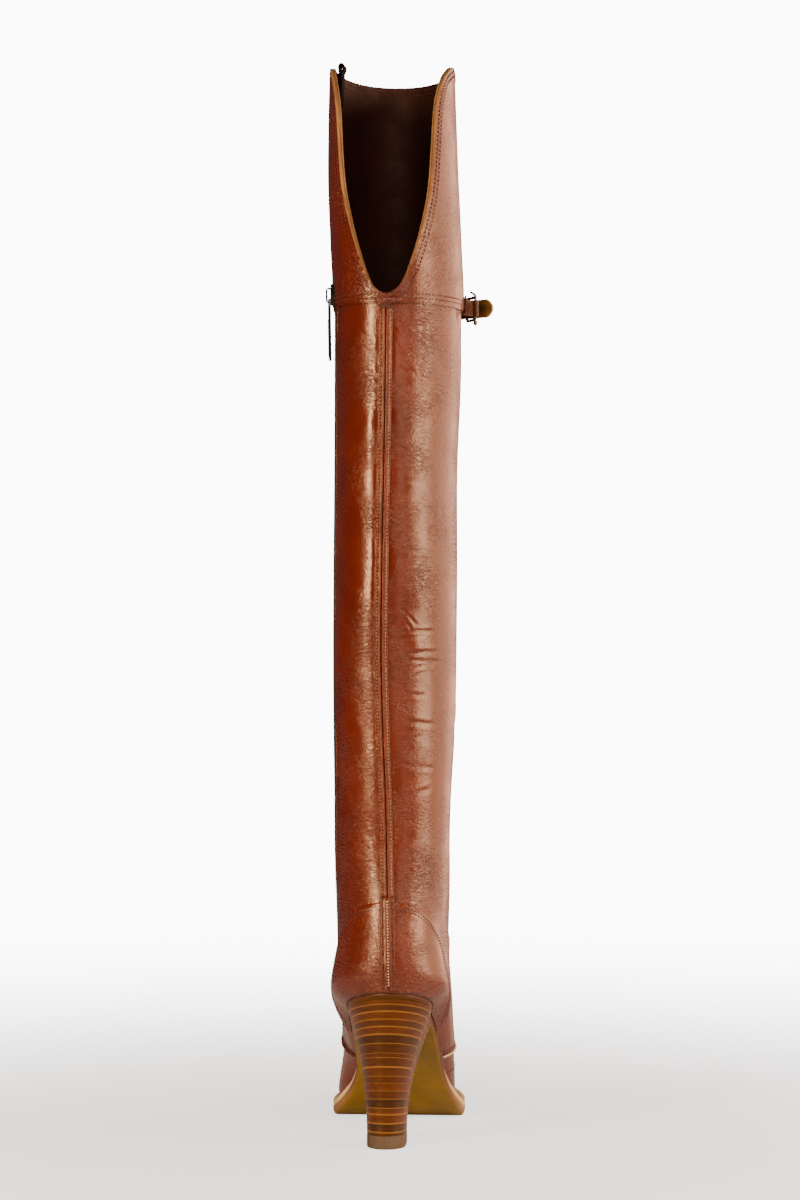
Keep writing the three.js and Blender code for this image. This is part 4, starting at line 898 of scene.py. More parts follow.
cuff_face_rise = gap + facing
stitches("knee_stitches", [level_ring(509, 1.42), level_ring(511.6, 1.42)], 2.5, 1.9, 0.34, brown_thread)
stitches("rim_stitches", rim_run(2.4, cuff_face_rise) + rim_run(5.4, cuff_face_rise), 2.6, 2.0, 0.3, brown_thread)
inside_rows = [(p, -n) for p, n in rim_run(2.6, -wall - 0.05) + rim_run(5.6, -wall - 0.05)]
stitches("lining_stitches", inside_rows, 2.8, 2.1, 0.3, brown_thread)


# COUNTER. A stiffened heel piece cut from the same leather, skived thin along its curved top
# edge and sewn down over the leg with two close rows.
counter_height = 153
counter_line = table(
    ["along", "rise"],
    [
        [-0.03, 1.0],
        [-0.01, 0.985],
        [0.013, 0.94],
        [0.057, 0.77],
        [0.092, 0.6],
        [0.136, 0.37],
        [0.18, 0.14],
        [0.254, -0.21],
        [0.33, -0.6],
    ],
)
counter_rise = curve(counter_line["along"], counter_line["rise"])


def counter_edge(y, turn=None):
    return mix(heel_height, counter_height, counter_rise((y - heel_back) / foot_length))


counter_turns = np.linspace(-0.372, 0.372, 130)
counter_bottom = level_where(counter_turns, lambda y, turn: feather(y) + 0.2)
counter_top = np.maximum(level_where(counter_turns, counter_edge), counter_bottom + 0.25)
counter_share = np.concatenate([np.linspace(0, 0.97, 52), [0.982, 0.992, 1.0, 1.0]])[:, None]
counter_levels = mix(counter_bottom[None, :], counter_top[None, :], counter_share)
counter_grid = np.broadcast_to(counter_turns, counter_levels.shape)
counter_skin = skin(counter_levels, counter_grid)
rise = np.full(counter_levels.shape, gap + facing)
rise[-4], rise[-3], rise[-2], rise[-1] = 1.5, 1.25, 0.8, -0.4
rise[0] = 1.1
mid = np.abs(counter_grid) * 90
for z, side, wide, deep in [(148, 1, 7, 0.3), (144, 1, 10, 0.3), (147, -1, 8, 0.35), (141, -1, 9, 0.3), (137, 1, 8, 0.22)]:
    near = np.exp(-(((counter_skin[..., 2] - z - 0.15 * mid) / 1.3) ** 2))
    rise -= deep * near * np.exp(-(((mid - 9) / wide) ** 2)) * (np.sign(counter_grid) == side)
counter_points = counter_skin + outward(counter_levels, counter_grid) * rise[..., None]
counter_tint = np.ones(counter_levels.shape)
# The top rows are lighter for the pale skived edge; the lowest rows are darker as painted shade at the joint with the
# sole.
counter_tint[-4:] = 1.5
counter_tint[:3] = 0.6
counter_tint = np.repeat(counter_tint.reshape(-1, 1), 3, axis=1)
add_piece(
    "heel_counter",
    counter_points.reshape(-1, 3),
    grid(len(counter_share), len(counter_turns)),
    [cognac],
    ["counter"],
    tint=counter_tint,
)


def counter_row(below):
    """Along the counter's top edge, a distance below it."""
    turn = np.linspace(-0.36, 0.36, 300)
    level = level_where(turn, lambda y, t: counter_edge(y) - below)
    level = np.maximum(level, level_where(turn, lambda y, t: feather(y) + 1))
    return on_skin(level, turn, 1.6)


stitches("counter_stitches", [counter_row(2.6), counter_row(5.0)], 2.3, 1.7, 0.28, brown_thread)


# BACK SEAM. The leg's two halves meet in a raised seam: two rolled ridges beside a sunk line, with a row of stitches
# outside each ridge; over the counter the seam stands higher, with a row of cream stitches down its middle.
def turn_where(level, y, side):
    level, y = np.asarray(level, float), np.asarray(y, float)
    a, b = np.zeros(y.shape), np.ones(y.shape)
    for _ in range(26):
        middle = (a + b) / 2
        short = skin(level, side * middle)[..., 1] < y
        a, b = np.where(short, middle, a), np.where(short, b, middle)
    return side * (a + b) / 2


def place_at(y, z, side):
    """The level and the turn of the skin at a height and a distance along the foot."""
    y, z = np.asarray(y, float), np.asarray(z, float)
    turn = np.full(y.shape, 0.5 * side)
    for _ in range(8):
        level = level_where(turn, lambda at, t: z)
        turn = turn_where(level, y, side)
    return level, turn


def turn_for(level, turn, length):
    step = np.linalg.norm(skin(level, turn + 0.01) - skin(level, turn - 0.01), axis=-1)
    return length * 0.02 / step


def strip(rows, closed_run=False):
    """Faces of a run of closed cross-sections, with its two ends filled."""
    count, around = rows.shape[:2]
    faces = [list(f) for f in grid(count, around, True)]
    faces.append(list(range(around))[::-1])
    faces.append(list(range((count - 1) * around, count * around)))
    return rows.reshape(-1, 3), faces


half_relief = table(
    ["side", "rise"],
    [
        [0, 0.25],
        [0.16, 0.35],
        [0.36, 0.85],
        [0.7, 1.22],
        [1.15, 1.38],
        [1.6, 1.2],
        [2.1, 0.95],
        [2.7, 0.85],
        [2.95, 0.62],
        [3.15, 0.55],
        [3.35, 0.65],
        [3.7, 0.8],
        [4.2, 0.7],
        [4.5, 0.42],
        [4.55, -0.3],
    ],
)
seam_side = np.concatenate([-half_relief["side"][:0:-1], half_relief["side"]]) * 0.86
seam_rise = np.concatenate([half_relief["rise"][:0:-1], half_relief["rise"]])
seam_z = np.concatenate([np.arange(99.2, 160, 0.9), np.arange(160, 505.4, 1.6)])
seam_level = level_where(np.zeros(len(seam_z)), lambda y, turn: seam_z)[:, None]
over_counter = ease((counter_height + 0.6 - seam_z) / 1.6)[:, None]
seam_turn = turn_for(seam_level, 0, seam_side[None, :])
pucker = 0.1 * np.sin(seam_z * 1.9) * np.sin(seam_z * 0.31) + 0.08 * np.sin(seam_z * 0.83 + 1)
pucker = pucker[:, None] * (seam_rise > 0.9)[None, :]
strip_rise = (seam_rise[None, :] + pucker) * mix(1, 0.75, over_counter) + 1.6 * over_counter
strip_rise[:, [0, -1]] = -0.3
seam_rows = proud(seam_level, seam_turn, strip_rise)
seam_tint = np.ones(strip_rise.shape)
# Painted shade and highlight: darker in the sunk centre line and in the grooves of the stitch rows, lighter on the
# rolled ridges.
seam_tint[:, np.abs(seam_side) < 0.26] = 0.35
seam_tint[:, (np.abs(seam_side) > 0.5) & (np.abs(seam_side) < 1.5)] = 1.1
seam_tint[:, (np.abs(seam_side) > 2.4) & (np.abs(seam_side) < 3.0)] = 0.4
points, faces = strip(seam_rows)
add_piece(
    "back_seam_strip",
    points,
    faces,
    [cognac],
    ["back_seam"],
    tint=np.repeat(seam_tint.reshape(-1, 1), 3, axis=1),
    sharp=75,
)


def seam_row(side, low, high, rise):
    z = np.arange(low, high, 1.0)
    level = level_where(np.zeros(len(z)), lambda y, t: z)
    return on_skin(level, turn_for(level, 0, side), rise)


stitches(
    "back_seam_stitches",
    [seam_row(-2.71, 155, 503, 0.6), seam_row(2.71, 155, 503, 0.6)],
    2.1,
    1.4,
    0.24,
    tan_thread,
)
stitches("heel_seam_stitches", [seam_row(0, 101, 152, 2.35)], 1.8, 1.1, 0.42, cream_thread)
stitches("counter_seam_stitches", [seam_row(side, 101, 153, 2.25) for side in (-2.71, 2.71)], 2.0, 1.5, 0.26, brown_thread)
tack_z = np.arange(503.6, 506.2, 0.65)
tack_level = level_where(np.zeros(len(tack_z)), lambda y, t: tack_z)
tack, tack_up = on_skin(tack_level, 0.0 * tack_level, 1.7)
points, faces = beads(tack, np.repeat([[1.0, 0, 0]], len(tack), 0), tack_up, 7.5, 0.36)
add_piece("back_seam_bartack", points, faces, [brown_thread], sharp=80)


# VAMP EDGE. The leg is lasted over the vamp; its skived raw edge shows as a bead, pale on the outer side and brown on
# the inner side as painted shade, with two rows of stitches behind it.
def round_run(path, radius, sides=10):
    """A closed round strand along a path."""
    ahead = unit(np.gradient(path, axis=0))
    lift = np.array([0.0, 0, 1]) if np.abs(ahead[:, 2]).max() < 0.9 else np.array([0.0, 1, 0])
    aside = unit(np.cross(ahead, lift))
    up = np.cross(aside, ahead)
    angle = np.linspace(0, 2 * np.pi, sides, endpoint=False)
    radius = np.broadcast_to(radius, (len(path),))[:, None, None]
    ring = np.cos(angle)[None, :, None] * aside[:, None] + np.sin(angle)[None, :, None] * up[:, None]
    return strip(path[:, None] + radius * ring)


def vamp_run(side, back, rise):
    """Along the leg's edge, a distance behind it, from the sole up and across the instep."""
    share = np.linspace(0, 1, 160)
    run = np.concatenate([[0], np.cumsum(np.hypot(np.diff(vamp_y), np.diff(vamp_z)))])
    y = curve(run / run[-1], vamp_y)(share)
    z = curve(run / run[-1], vamp_z)(share)
    dy, dz = np.gradient(y), np.gradient(z)
    size = np.hypot(dy, dz)
    y, z = y - back * dz / size, z + back * dy / size
    keep = z > feather(y) + 1.2
    level, turn = place_at(y[keep], z[keep], side)
    short = np.abs(turn) < 0.985
    level, turn = level[short], turn[short]
    across = np.linspace(turn[-1], side, 20)[1:]
    across_z = skin(level[-1], turn[-1])[2]
    over = level_where(across, lambda at, t: across_z)
    return on_skin(np.concatenate([level, over]), np.concatenate([turn, across]), rise)


# On the inner side the bead and its cord take the brown thread instead of the cream: painted shade.
for side, word, cord in [(1, "outer", cream_thread), (-1, "inner", brown_thread)]:
    bead, bead_up = vamp_run(side, 0.1, 0.05)
    points, faces = round_run(bead, 0.55)
    add_piece("vamp_edge_" + word, points, faces, [cord], sharp=80)
    stitches("vamp_cord_" + word, [(bead + 0.3 * bead_up, bead_up)], 1.5, 2.0, 0.5, cord)
stitches(
    "vamp_stitches",
    [vamp_run(side, back, 0.08) for side in (1, -1) for back in (2.0, 4.4)],
    2.4,
    1.7,
    0.28,
    brown_thread,
)
share = np.linspace(0, 1, 30)
wing_level, wing_turn = place_at(mix(84, 104, share), mix(31.5, 38.5, share), 1)
stitches("vamp_wing_stitches", [on_skin(wing_level, wing_turn, 0.08 - vamp_step)], 2.0, 1.4, 0.26, brown_thread)


# ZIP. A black coil zip on cotton tape, sewn behind the folded edges of the slot up the inner
# side, with two rows of stitches.
def cloth(name, base, deep, scale):
    material, nodes, links, surface = shader(name)
    place = nodes.new("ShaderNodeTexCoord")
    weave = nodes.new("ShaderNodeTexWave")
    weave.inputs["Scale"].default_value = scale
    weave.inputs["Distortion"].default_value = 2.5
    weave.inputs["Detail"].default_value = 3
    wear = nodes.new("ShaderNodeTexNoise")
    wear.inputs["Scale"].default_value = 180
    wear.inputs["Detail"].default_value = 5
    dye = nodes.new("ShaderNodeValToRGB")
    dye.color_ramp.elements[0].color = (*deep, 1)
    dye.color_ramp.elements[1].color = (*base, 1)
    relief = nodes.new("ShaderNodeBump")
    relief.inputs["Strength"].default_value = 0.6
    relief.inputs["Distance"].default_value = 0.00015
    links.new(place.outputs["Object"], weave.inputs["Vector"])
    links.new(place.outputs["Object"], wear.inputs["Vector"])
    links.new(wear.outputs["Fac"], dye.inputs["Fac"])
    links.new(dye.outputs["Color"], surface.inputs["Base Color"])
    links.new(weave.outputs["Fac"], relief.inputs["Height"])
    links.new(relief.outputs["Normal"], surface.inputs["Normal"])
    surface.inputs["Roughness"].default_value = 0.8
    surface.inputs["Sheen Weight"].default_value = 0.25
    return material


zip_cloth = cloth("zip_cloth", (0.022, 0.02, 0.019), (0.008, 0.007, 0.007), 900)
coil_nylon = thread("coil_nylon", (0.05, 0.048, 0.047), (0.015, 0.014, 0.014))
coil_nylon.node_tree.nodes["Principled BSDF"].inputs["Roughness"].default_value = 0.28
zip_step = 1.35
zip_length = math.hypot(zip_top - zip_foot, float(np.ptp(zip_y)))
zip_at = np.linspace(0, 1, int(zip_length / zip_step))
zip_level, zip_turn = place_at(
    heel_back + zip_along(zip_at) * foot_length, mix(zip_foot, zip_top, zip_at), -1
)


def zip_run(side, rise, low=0.0, high=1.0):
    pick = (zip_at >= low) & (zip_at <= high)
    level, turn = zip_level[pick], zip_turn[pick]
    return on_skin(level, turn + turn_for(level, turn, side), rise)


tape_profile = [(-6.4, -1.5), (-6.4, -0.95), (-3.0, -0.7), (-2.5, -0.35), (2.5, -0.35), (3.0, -0.7), (6.4, -0.95), (6.4, -1.5)]
tape_rows = np.stack([zip_run(side, rise)[0] for side, rise in tape_profile], 1)
points, faces = strip(tape_rows)
add_piece("zip_tape", points, faces, [zip_cloth], ["zip"])
coil, coil_up = zip_run(0, 0.1)
left_teeth, _ = zip_run(-1.3, 0.1)
teeth = []
for side in (-1, 1):
    middle, up = zip_run(side * 1.15, 0.12)
    teeth.append(beads(middle + 0.25 * side * np.gradient(middle, axis=0), coil - left_teeth, up, 2.9, 0.56))
points = np.vstack([teeth[0][0], teeth[1][0]])
faces = np.vstack([teeth[0][1], teeth[1][1] + len(teeth[0][0])])
add_piece("zip_coil", points, faces, [coil_nylon], sharp=80)
for side, word in [(-6.75, "front"), (6.75, "back")]:
    path, _ = zip_run(side, -0.25)
    points, faces = round_run(path, 0.62)
    edge_tint = np.full((len(points), 3), 0.9)
    add_piece("zip_edge_" + word, points, faces, [cognac], tint=edge_tint, sharp=80)
stitches(
    "zip_stitches",
    [zip_run(side, 0.12, 0, 0.955) for side in (-9.2, 9.2)] + [zip_run(side, 1.72, 0.965) for side in (-9.2, 9.2)],
    2.5,
    1.8,
    0.26,
    brown_thread,
)


# SLIDER AND PULL. Dark lacquered metal castings; the slider rests at the top of the zip and its
# pull hangs from the bridge. Their forms are those of the frame, with worn, rounded edges.
def metal(name, base, second_tone, rough):
    material, nodes, links, surface = shader(name)
    place = nodes.new("ShaderNodeTexCoord")
    patina = nodes.new("ShaderNodeTexNoise")
    patina.inputs["Scale"].default_value = 320
    patina.inputs["Detail"].default_value = 6
    dye = nodes.new("ShaderNodeValToRGB")
    dye.color_ramp.elements[0].position = 0.4
    dye.color_ramp.elements[0].color = (*base, 1)
    dye.color_ramp.elements[1].position = 0.66
    dye.color_ramp.elements[1].color = (*second_tone, 1)
    spread = nodes.new("ShaderNodeMapRange")
    spread.inputs["To Min"].default_value = rough * 0.7
    spread.inputs["To Max"].default_value = rough * 1.5
    relief = nodes.new("ShaderNodeBump")
    relief.inputs["Strength"].default_value = 0.25
    relief.inputs["Distance"].default_value = 0.0001
    links.new(place.outputs["Object"], patina.inputs["Vector"])
    links.new(patina.outputs["Fac"], dye.inputs["Fac"])
    links.new(dye.outputs["Color"], surface.inputs["Base Color"])
    links.new(patina.outputs["Fac"], spread.inputs["Value"])
    links.new(spread.outputs["Result"], surface.inputs["Roughness"])
    links.new(patina.outputs["Fac"], relief.inputs["Height"])
    links.new(relief.outputs["Normal"], surface.inputs["Normal"])
    surface.inputs["Metallic"].default_value = 1
    return material


dark_metal = metal("dark_metal", (0.035, 0.032, 0.03), (0.11, 0.10, 0.09), 0.3)
for name in ("zip_slider", "zip_pull"):
    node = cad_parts[name]
    node.data.materials.clear()
    node.data.materials.append(dark_metal)
    rounding = node.modifiers.new("worn_edges", "BEVEL")
    rounding.width = 0.00022
    rounding.segments = 3
    rounding.limit_method = "ANGLE"


# KNEE STRAP. A belt of darker leather round the front of the knee, over the cuff; its tail runs
# straight out through the buckle to a pointed tip with worn edges.
strap_z = knee_height - 1
strap_width = 11.4
strap_thickness = 2.2
strap_lie = gap + facing + gap
strap_start, strap_leave = -0.6, 0.86
tip_chamfer = 3.6
strap_level = float(level_where(np.zeros(1), lambda y, t: np.full(1, strap_z))[0])
leave_point = proud(strap_level, strap_leave, strap_lie)
leave_out = outward(strap_level, strap_leave) * np.array([1, 1, 0])
leave_out = unit(leave_out)
leave_along = -np.cross([0.0, 0, 1], leave_out)
tail_length = (62 - leave_point[0]) / leave_along[0]


def by_tail(along, off, up):
    point = leave_point + leave_along * along + leave_out * off
    return np.array([point[0], point[1], strap_z + up])


strap_leather = leather("strap_leather", (0.085, 0.018, 0.002), (0.05, 0.01, 0.001), 0.42)
half_thick = strap_thickness / 2
side_profile = np.array([-1, -1, -0.97, -0.9, -0.6, -0.2, 0.2, 0.6, 0.9, 0.97, 1, 1, 0.97, 0, -0.97])
rise_profile = np.array([0.25, 0.7, 0.9, 1, 1.04, 1.06, 1.06, 1.04, 1, 0.9, 0.7, 0.25, 0.05, 0, 0.05])
strap_rows, strap_tint, strap_row_paths = [], [], []
for s in np.linspace(0, 1, 90):
    turn = strap_start - (2 + strap_start - strap_leave) * s
    half = strap_width / 2
    base = proud(strap_level, np.full(len(side_profile), turn), strap_lie + rise_profile * strap_thickness)
    base[:, 2] = strap_z + side_profile * half
    strap_rows.append(base)
    strap_tint.append(1 + 0.5 * (np.abs(side_profile) > 0.95))
for s in np.linspace(0, 1, 60)[1:]:
    along = tail_length * s
    to_tip = max(0.0, along - (tail_length - tip_chamfer * 1.35)) / (tip_chamfer * 1.35)
    half = strap_width / 2 * (1 - 0.72 * to_tip**1.6)
    thin = 1 - 0.3 * to_tip**4
    row = np.array([by_tail(along, strap_thickness * r * thin, u * half) for u, r in zip(side_profile, rise_profile)])
    strap_rows.append(row)
    second_tone = 1 + 2.2 * (np.abs(side_profile) > 0.95) * ease((s - 0.35) * 2) + 1.6 * ease((s - 0.86) * 12)
    # Painted shade: a darker band on the tail near the leg, where it runs into the buckle; the lighter edges and tip
    # are the leather's wear and colour.
    second_tone -= 0.55 * math.exp(-(((s - 0.42) / 0.2) ** 2))
    strap_tint.append(second_tone)
points, faces = strip(np.array(strap_rows))
strap_shade = np.array(strap_tint).reshape(-1, 1) * np.array([[1, 1.12, 1.2]])
tip_share = np.clip((np.linspace(0, 1, 60)[1:] - 0.72) * 5, 0, 1)
tip_share = np.repeat(np.concatenate([np.zeros(90), tip_share]), len(side_profile))
strap_shade *= 1 + tip_share[:, None] * np.array([[0.2, 1.6, 4.0]])
add_piece("knee_strap_leather", points, faces, [strap_leather], ["knee_strap"], tint=strap_shade, sharp=60)
edge_rows = []
for up in (-1, 1):
    turn = np.linspace(strap_start, strap_start - (2 + strap_start - strap_leave), 200)
    wrap = proud(strap_level, turn, strap_lie + strap_thickness * 1.05)
    wrap[:, 2] = strap_z + up * (strap_width / 2 - 1.5)
    tail = np.array([by_tail(along, strap_thickness * 1.05, up * (strap_width / 2 - 1.5)) for along in np.linspace(0.5, tail_length - 4.4, 60)])
    path = np.vstack([wrap, tail])
    normals = np.vstack([outward(strap_level, turn), np.repeat(leave_out[None], len(tail), 0)])
    edge_rows.append((path, normals))
stitches("strap_stitches", edge_rows, 2.1, 1.4, 0.24, tan_thread)


# BUCKLE AND CHAPE. A cast bronze frame, bar and prong, held by a leather tab sewn to the cuff
# whose end loops round the bar.
bronze = metal("bronze", (0.16, 0.105, 0.055), (0.42, 0.31, 0.17), 0.26)
wire = 0.85
buckle_height, buckle_length = 15.6, 15.7
chape_width, chape_thickness = 10, 1.2
wire_reach = wire * math.sqrt(2)
chape_hole = wire_reach + gap
chape_ring = chape_hole + chape_thickness
bar_off = -chape_ring - gap
near_off = strap_thickness + gap + wire_reach
bar_along = tail_length - 10.5
near_along = bar_along - math.sqrt((buckle_length - 2 * wire) ** 2 - (near_off - bar_off) ** 2)
bar = by_tail(bar_along, bar_off, 0)
near = by_tail(near_along, near_off, 0)
across = unit(bar - near)
middle = (bar + near) / 2
corner = 2.6 - wire
ring_path = []
for cx, cz, start in [(1, -1, -90), (1, 1, 0), (-1, 1, 90), (-1, -1, 180)]:
    for a in np.radians(np.linspace(start, start + 90, 9)):
        x = cx * (buckle_length / 2 - wire - corner) + corner * math.cos(a)
        z = cz * (buckle_height / 2 - wire - corner) + corner * math.sin(a)
        ring_path.append(middle + across * x + np.array([0, 0, z]))
ring_path = np.array(ring_path)
ahead = unit(np.roll(ring_path, -1, axis=0) - np.roll(ring_path, 1, axis=0))
face_out = np.cross(across, [0.0, 0, 1])
aside = np.cross(ahead, face_out)
angle = np.linspace(0, 2 * np.pi, 14, endpoint=False)
ring = ring_path[:, None] + 0.92 * (
    np.cos(angle)[None, :, None] * aside[:, None] + np.sin(angle)[None, :, None] * face_out
)
ring = np.vstack([ring, ring[:1]])
foot_ball = by_tail(bar_along, bar_off, -buckle_height / 2 - 1.2)
ball_angle = np.linspace(0.02, math.pi - 0.02, 13)
ball_rows = np.array(
    [
        foot_ball + 1.5 * np.array([math.sin(a) * math.cos(b), math.sin(a) * math.sin(b), math.cos(a)])
        for a in ball_angle
        for b in angle
    ]
).reshape(13, 14, 3)
pin = np.array([by_tail(bar_along - 4.2 * s * s, bar_off, buckle_height / 2 - 1 + 4.6 * s - 0.9 * s * s) for s in np.linspace(0, 1, 16)])
prong_rest = near_off + wire_reach + gap + 0.8
prong_path = curve(
    [0, 0.32, 0.86, 1],
    [[v[k] for v in (
        by_tail(bar_along - chape_ring - gap - 0.8, bar_off / 2, 0),
        by_tail(bar_along - chape_ring - 3.4, strap_thickness + gap + 0.8, 0),
        by_tail(near_along, prong_rest, 0),
        by_tail(near_along - 2, prong_rest - 0.1, 0),
    )] for k in range(3)][0],
)
prong_points = np.array(
    [
        by_tail(bar_along - chape_ring - gap - 0.8, bar_off / 2, 0),
        by_tail(bar_along - chape_ring - 3.4, strap_thickness + gap + 0.8, 0),
        by_tail(near_along, prong_rest, 0),
        by_tail(near_along - 2, prong_rest - 0.15, 0),
    ]
)
prong_at = np.array([0, 0.32, 0.88, 1])
prong_path = np.stack([curve(prong_at, prong_points[:, k])(np.linspace(0, 1, 40)) for k in range(3)], 1)


def join(parts):
    points, faces, total = [], [], 0
    for some, quads in parts:
        points.append(some)
        faces += [[total + i for i in face] for face in quads]
        total += len(some)
    return np.vstack(points), faces


pieces = [strip(ring), strip(ball_rows), round_run(pin, np.linspace(0.85, 0.6, 16))]
points, faces = join(pieces)
add_piece("buckle", points, faces, [bronze], ["buckle_frame"], sharp=70)
points, faces = round_run(prong_path, np.interp(np.linspace(0, 1, 40), [0, 0.9, 1], [0.85, 0.8, 0.45]), 12)
add_piece("prong", points, faces, [bronze], ["buckle_prong"], sharp=70)

chape_path, chape_face = [], []
for turn in np.linspace(0.5, 0.62, 14):
    chape_path.append(proud(strap_level, turn, strap_lie + chape_thickness / 2))
    chape_face.append(outward(strap_level, turn))
loop_radius = chape_hole + chape_thickness / 2
for a in np.radians(np.linspace(-8, 300, 34)):
    chape_path.append(bar + loop_radius * (-leave_out * math.cos(a) + leave_along * math.sin(a)))
    chape_face.append(-leave_out * math.cos(a) + leave_along * math.sin(a))
chape_path, chape_face = np.array(chape_path), np.array(chape_face)
chape_face[14:] *= -1
chape_face[14:] = -chape_face[14:]
chape_ahead = unit(np.gradient(chape_path * np.array([1, 1, 0]), axis=0))
chape_out = np.cross(chape_ahead, [0.0, 0, 1])
chape_profile = [(-1, -0.3), (-0.96, 0.4), (-0.85, 0.5), (0.85, 0.5), (0.96, 0.4), (1, -0.3), (0.9, -0.5), (-0.9, -0.5)]
chape_rows = np.array(
    [
        [
            [*(p + chape_thickness * r * o)[:2], strap_z + u * chape_width / 2]
            for u, r in chape_profile
        ]
        for p, o in zip(chape_path, chape_out)
    ]
)
points, faces = strip(chape_rows)
add_piece("chape_leather", points, faces, [strap_leather], ["buckle_chape"], tint=np.ones((len(points), 3)), sharp=60)


# HEEL. Leather lifts glued and pegged in a stack, trimmed to a flared heel and burnished; the
# glue lines show pale. Under it a rubber top lift takes the wear.
seat_margin = 0.7
welt_margin, welt_margin_inner = 7.2, 4
margin_share = curve([0, 0.42, 0.52, 0.64, 1], [0, 0, 0.3, 1, 1])
thickness_share = curve([0, 0.42, 0.6, 1], [0, 0, 1, 1])


def outline_point(turn, out):
    here = skin(0.0, turn)
    step = skin(0.0, turn + 0.004) - skin(0.0, turn - 0.004)
    side = unit(np.stack([step[..., 1], -step[..., 0]], -1))
    return here[..., :2] + side * np.asarray(out, float)[..., None]


def fore_share(y):
    return np.clip(thickness_share((y - heel_back) / foot_length), 0, 1)


def sole_top(y):
    return feather(y) - welt_thickness * fore_share(y)


def sole_bottom(y):
    return sole_top(y) - mix(seat_sole_thickness, sole_thickness, fore_share(y))


def sole_margin(turn):
    along = (skin(0.0, turn)[..., 1] - heel_back) / foot_length
    to_inner = 0.5 - 0.5 * np.sin(turn * np.pi)
    fore = mix(welt_margin, welt_margin_inner, to_inner)
    return mix(seat_margin, fore, np.clip(margin_share(along), 0, 1))


tread_width, tread_length = 23.6, 27
breast_turn = math.acos(1 - 2 * (22 - heel_back) / foot_length) / math.pi
part = np.linspace(0, 1, 44) ** 1.15
half = tread_width / 2
round_part = tread_length * 0.55
tread_y = -tread_length / 2 + tread_length * part**1.7
back_share = np.clip((round_part - tread_length / 2 - tread_y) / round_part, 0, 1)
tread_x = half * np.sqrt(1 - back_share**2)
front = np.linspace(1, -1, 13)[1:-1]
tread = np.vstack(
    [
        np.stack([tread_x, tread_y], 1),
        np.stack([half * front, np.full(len(front), tread_y[-1])], 1),
        np.stack([-tread_x[:0:-1], tread_y[:0:-1]], 1),
    ]
)
seat_right = outline_point(breast_turn * part, np.full(len(part), seat_margin))
seat_left = outline_point(-breast_turn * part, np.full(len(part), seat_margin))
breast = mix(seat_right[-1], seat_left[-1], ((1 - front) / 2)[:, None])
seat = np.vstack([seat_right, breast, seat_left[:0:-1]])
heel_share = np.linspace(0, 1, 90)
heel_rows = np.stack(
    [
        mix(tread[None, :, 0], seat[None, :, 0], heel_share[:, None] ** 1.95),
        mix(tread[None, :, 1], seat[None, :, 1], heel_share[:, None] ** 1.4),
        mix(8 + gap, (sole_bottom(seat[:, 1]) - gap)[None, :], heel_share[:, None]),
    ],
    -1,
)
lift_count = 17
ridge = 0.12 * np.abs(np.sin(np.pi * heel_share * lift_count)) ** 0.5 - 0.1
centre = heel_rows.mean(axis=1, keepdims=True)
heel_rows[..., :2] += unit((heel_rows - centre)[..., :2]) * ridge[:, None, None]
points, faces = strip(heel_rows)
heel_uv = np.stack(
    [np.tile(np.linspace(0, 1, len(tread)), len(heel_share)), np.repeat(heel_share, len(tread))], 1
)

stack_finish, nodes, links, surface = shader("stacked_leather")
lay = nodes.new("ShaderNodeUVMap")
lay.uv_map = "lay"
split = nodes.new("ShaderNodeSeparateXYZ")
times = nodes.new("ShaderNodeMath")
times.operation = "MULTIPLY"
times.inputs[1].default_value = lift_count
waver = nodes.new("ShaderNodeTexNoise")
waver.noise_dimensions = "1D"
waver.inputs["Scale"].default_value = 1.3
uneven = nodes.new("ShaderNodeMath")
uneven.operation = "ADD"
lift_number = nodes.new("ShaderNodeMath")
lift_number.operation = "FLOOR"
lift_tone = nodes.new("ShaderNodeTexWhiteNoise")
lift_tone.noise_dimensions = "1D"
lift_shade = nodes.new("ShaderNodeMapRange")
lift_shade.inputs["To Min"].default_value = 0.55
lift_shade.inputs["To Max"].default_value = 1.6
shaded = nodes.new("ShaderNodeVectorMath")
shaded.operation = "SCALE"
lift_part = nodes.new("ShaderNodeMath")
lift_part.operation = "FRACT"
glue = nodes.new("ShaderNodeValToRGB")
glue.color_ramp.elements[0].position = 0.0
glue.color_ramp.elements[0].color = (1, 1, 1, 1)
glue.color_ramp.elements[1].position = 0.1
glue.color_ramp.elements[1].color = (0, 0, 0, 1)
last = glue.color_ramp.elements.new(0.93)
last.color = (0, 0, 0, 1)
last = glue.color_ramp.elements.new(1.0)
last.color = (1, 1, 1, 1)
place = nodes.new("ShaderNodeTexCoord")
long_grain = nodes.new("ShaderNodeMapping")
long_grain.inputs["Scale"].default_value = (1, 1, 9)
fibre = nodes.new("ShaderNodeTexNoise")
fibre.inputs["Scale"].default_value = 90
fibre.inputs["Detail"].default_value = 8
fibre.inputs["Roughness"].default_value = 0.7
dye = nodes.new("ShaderNodeValToRGB")
dye.color_ramp.elements[0].position = 0.3
dye.color_ramp.elements[0].color = (0.022, 0.0034, 0.00015, 1)
dye.color_ramp.elements[1].position = 0.72
dye.color_ramp.elements[1].color = (0.085, 0.0165, 0.0004, 1)
lined = nodes.new("ShaderNodeMix")
lined.data_type = "RGBA"
lined.inputs["B"].default_value = (0.4, 0.17, 0.03, 1)
faint = nodes.new("ShaderNodeMath")
faint.operation = "MULTIPLY"
faint.inputs[1].default_value = 0.6
relief = nodes.new("ShaderNodeBump")
relief.inputs["Strength"].default_value = 0.35
relief.inputs["Distance"].default_value = 0.0002
links.new(lay.outputs["UV"], split.inputs["Vector"])
links.new(split.outputs["Y"], times.inputs[0])
links.new(times.outputs[0], waver.inputs["W"])
links.new(times.outputs[0], uneven.inputs[0])
links.new(waver.outputs["Fac"], uneven.inputs[1])
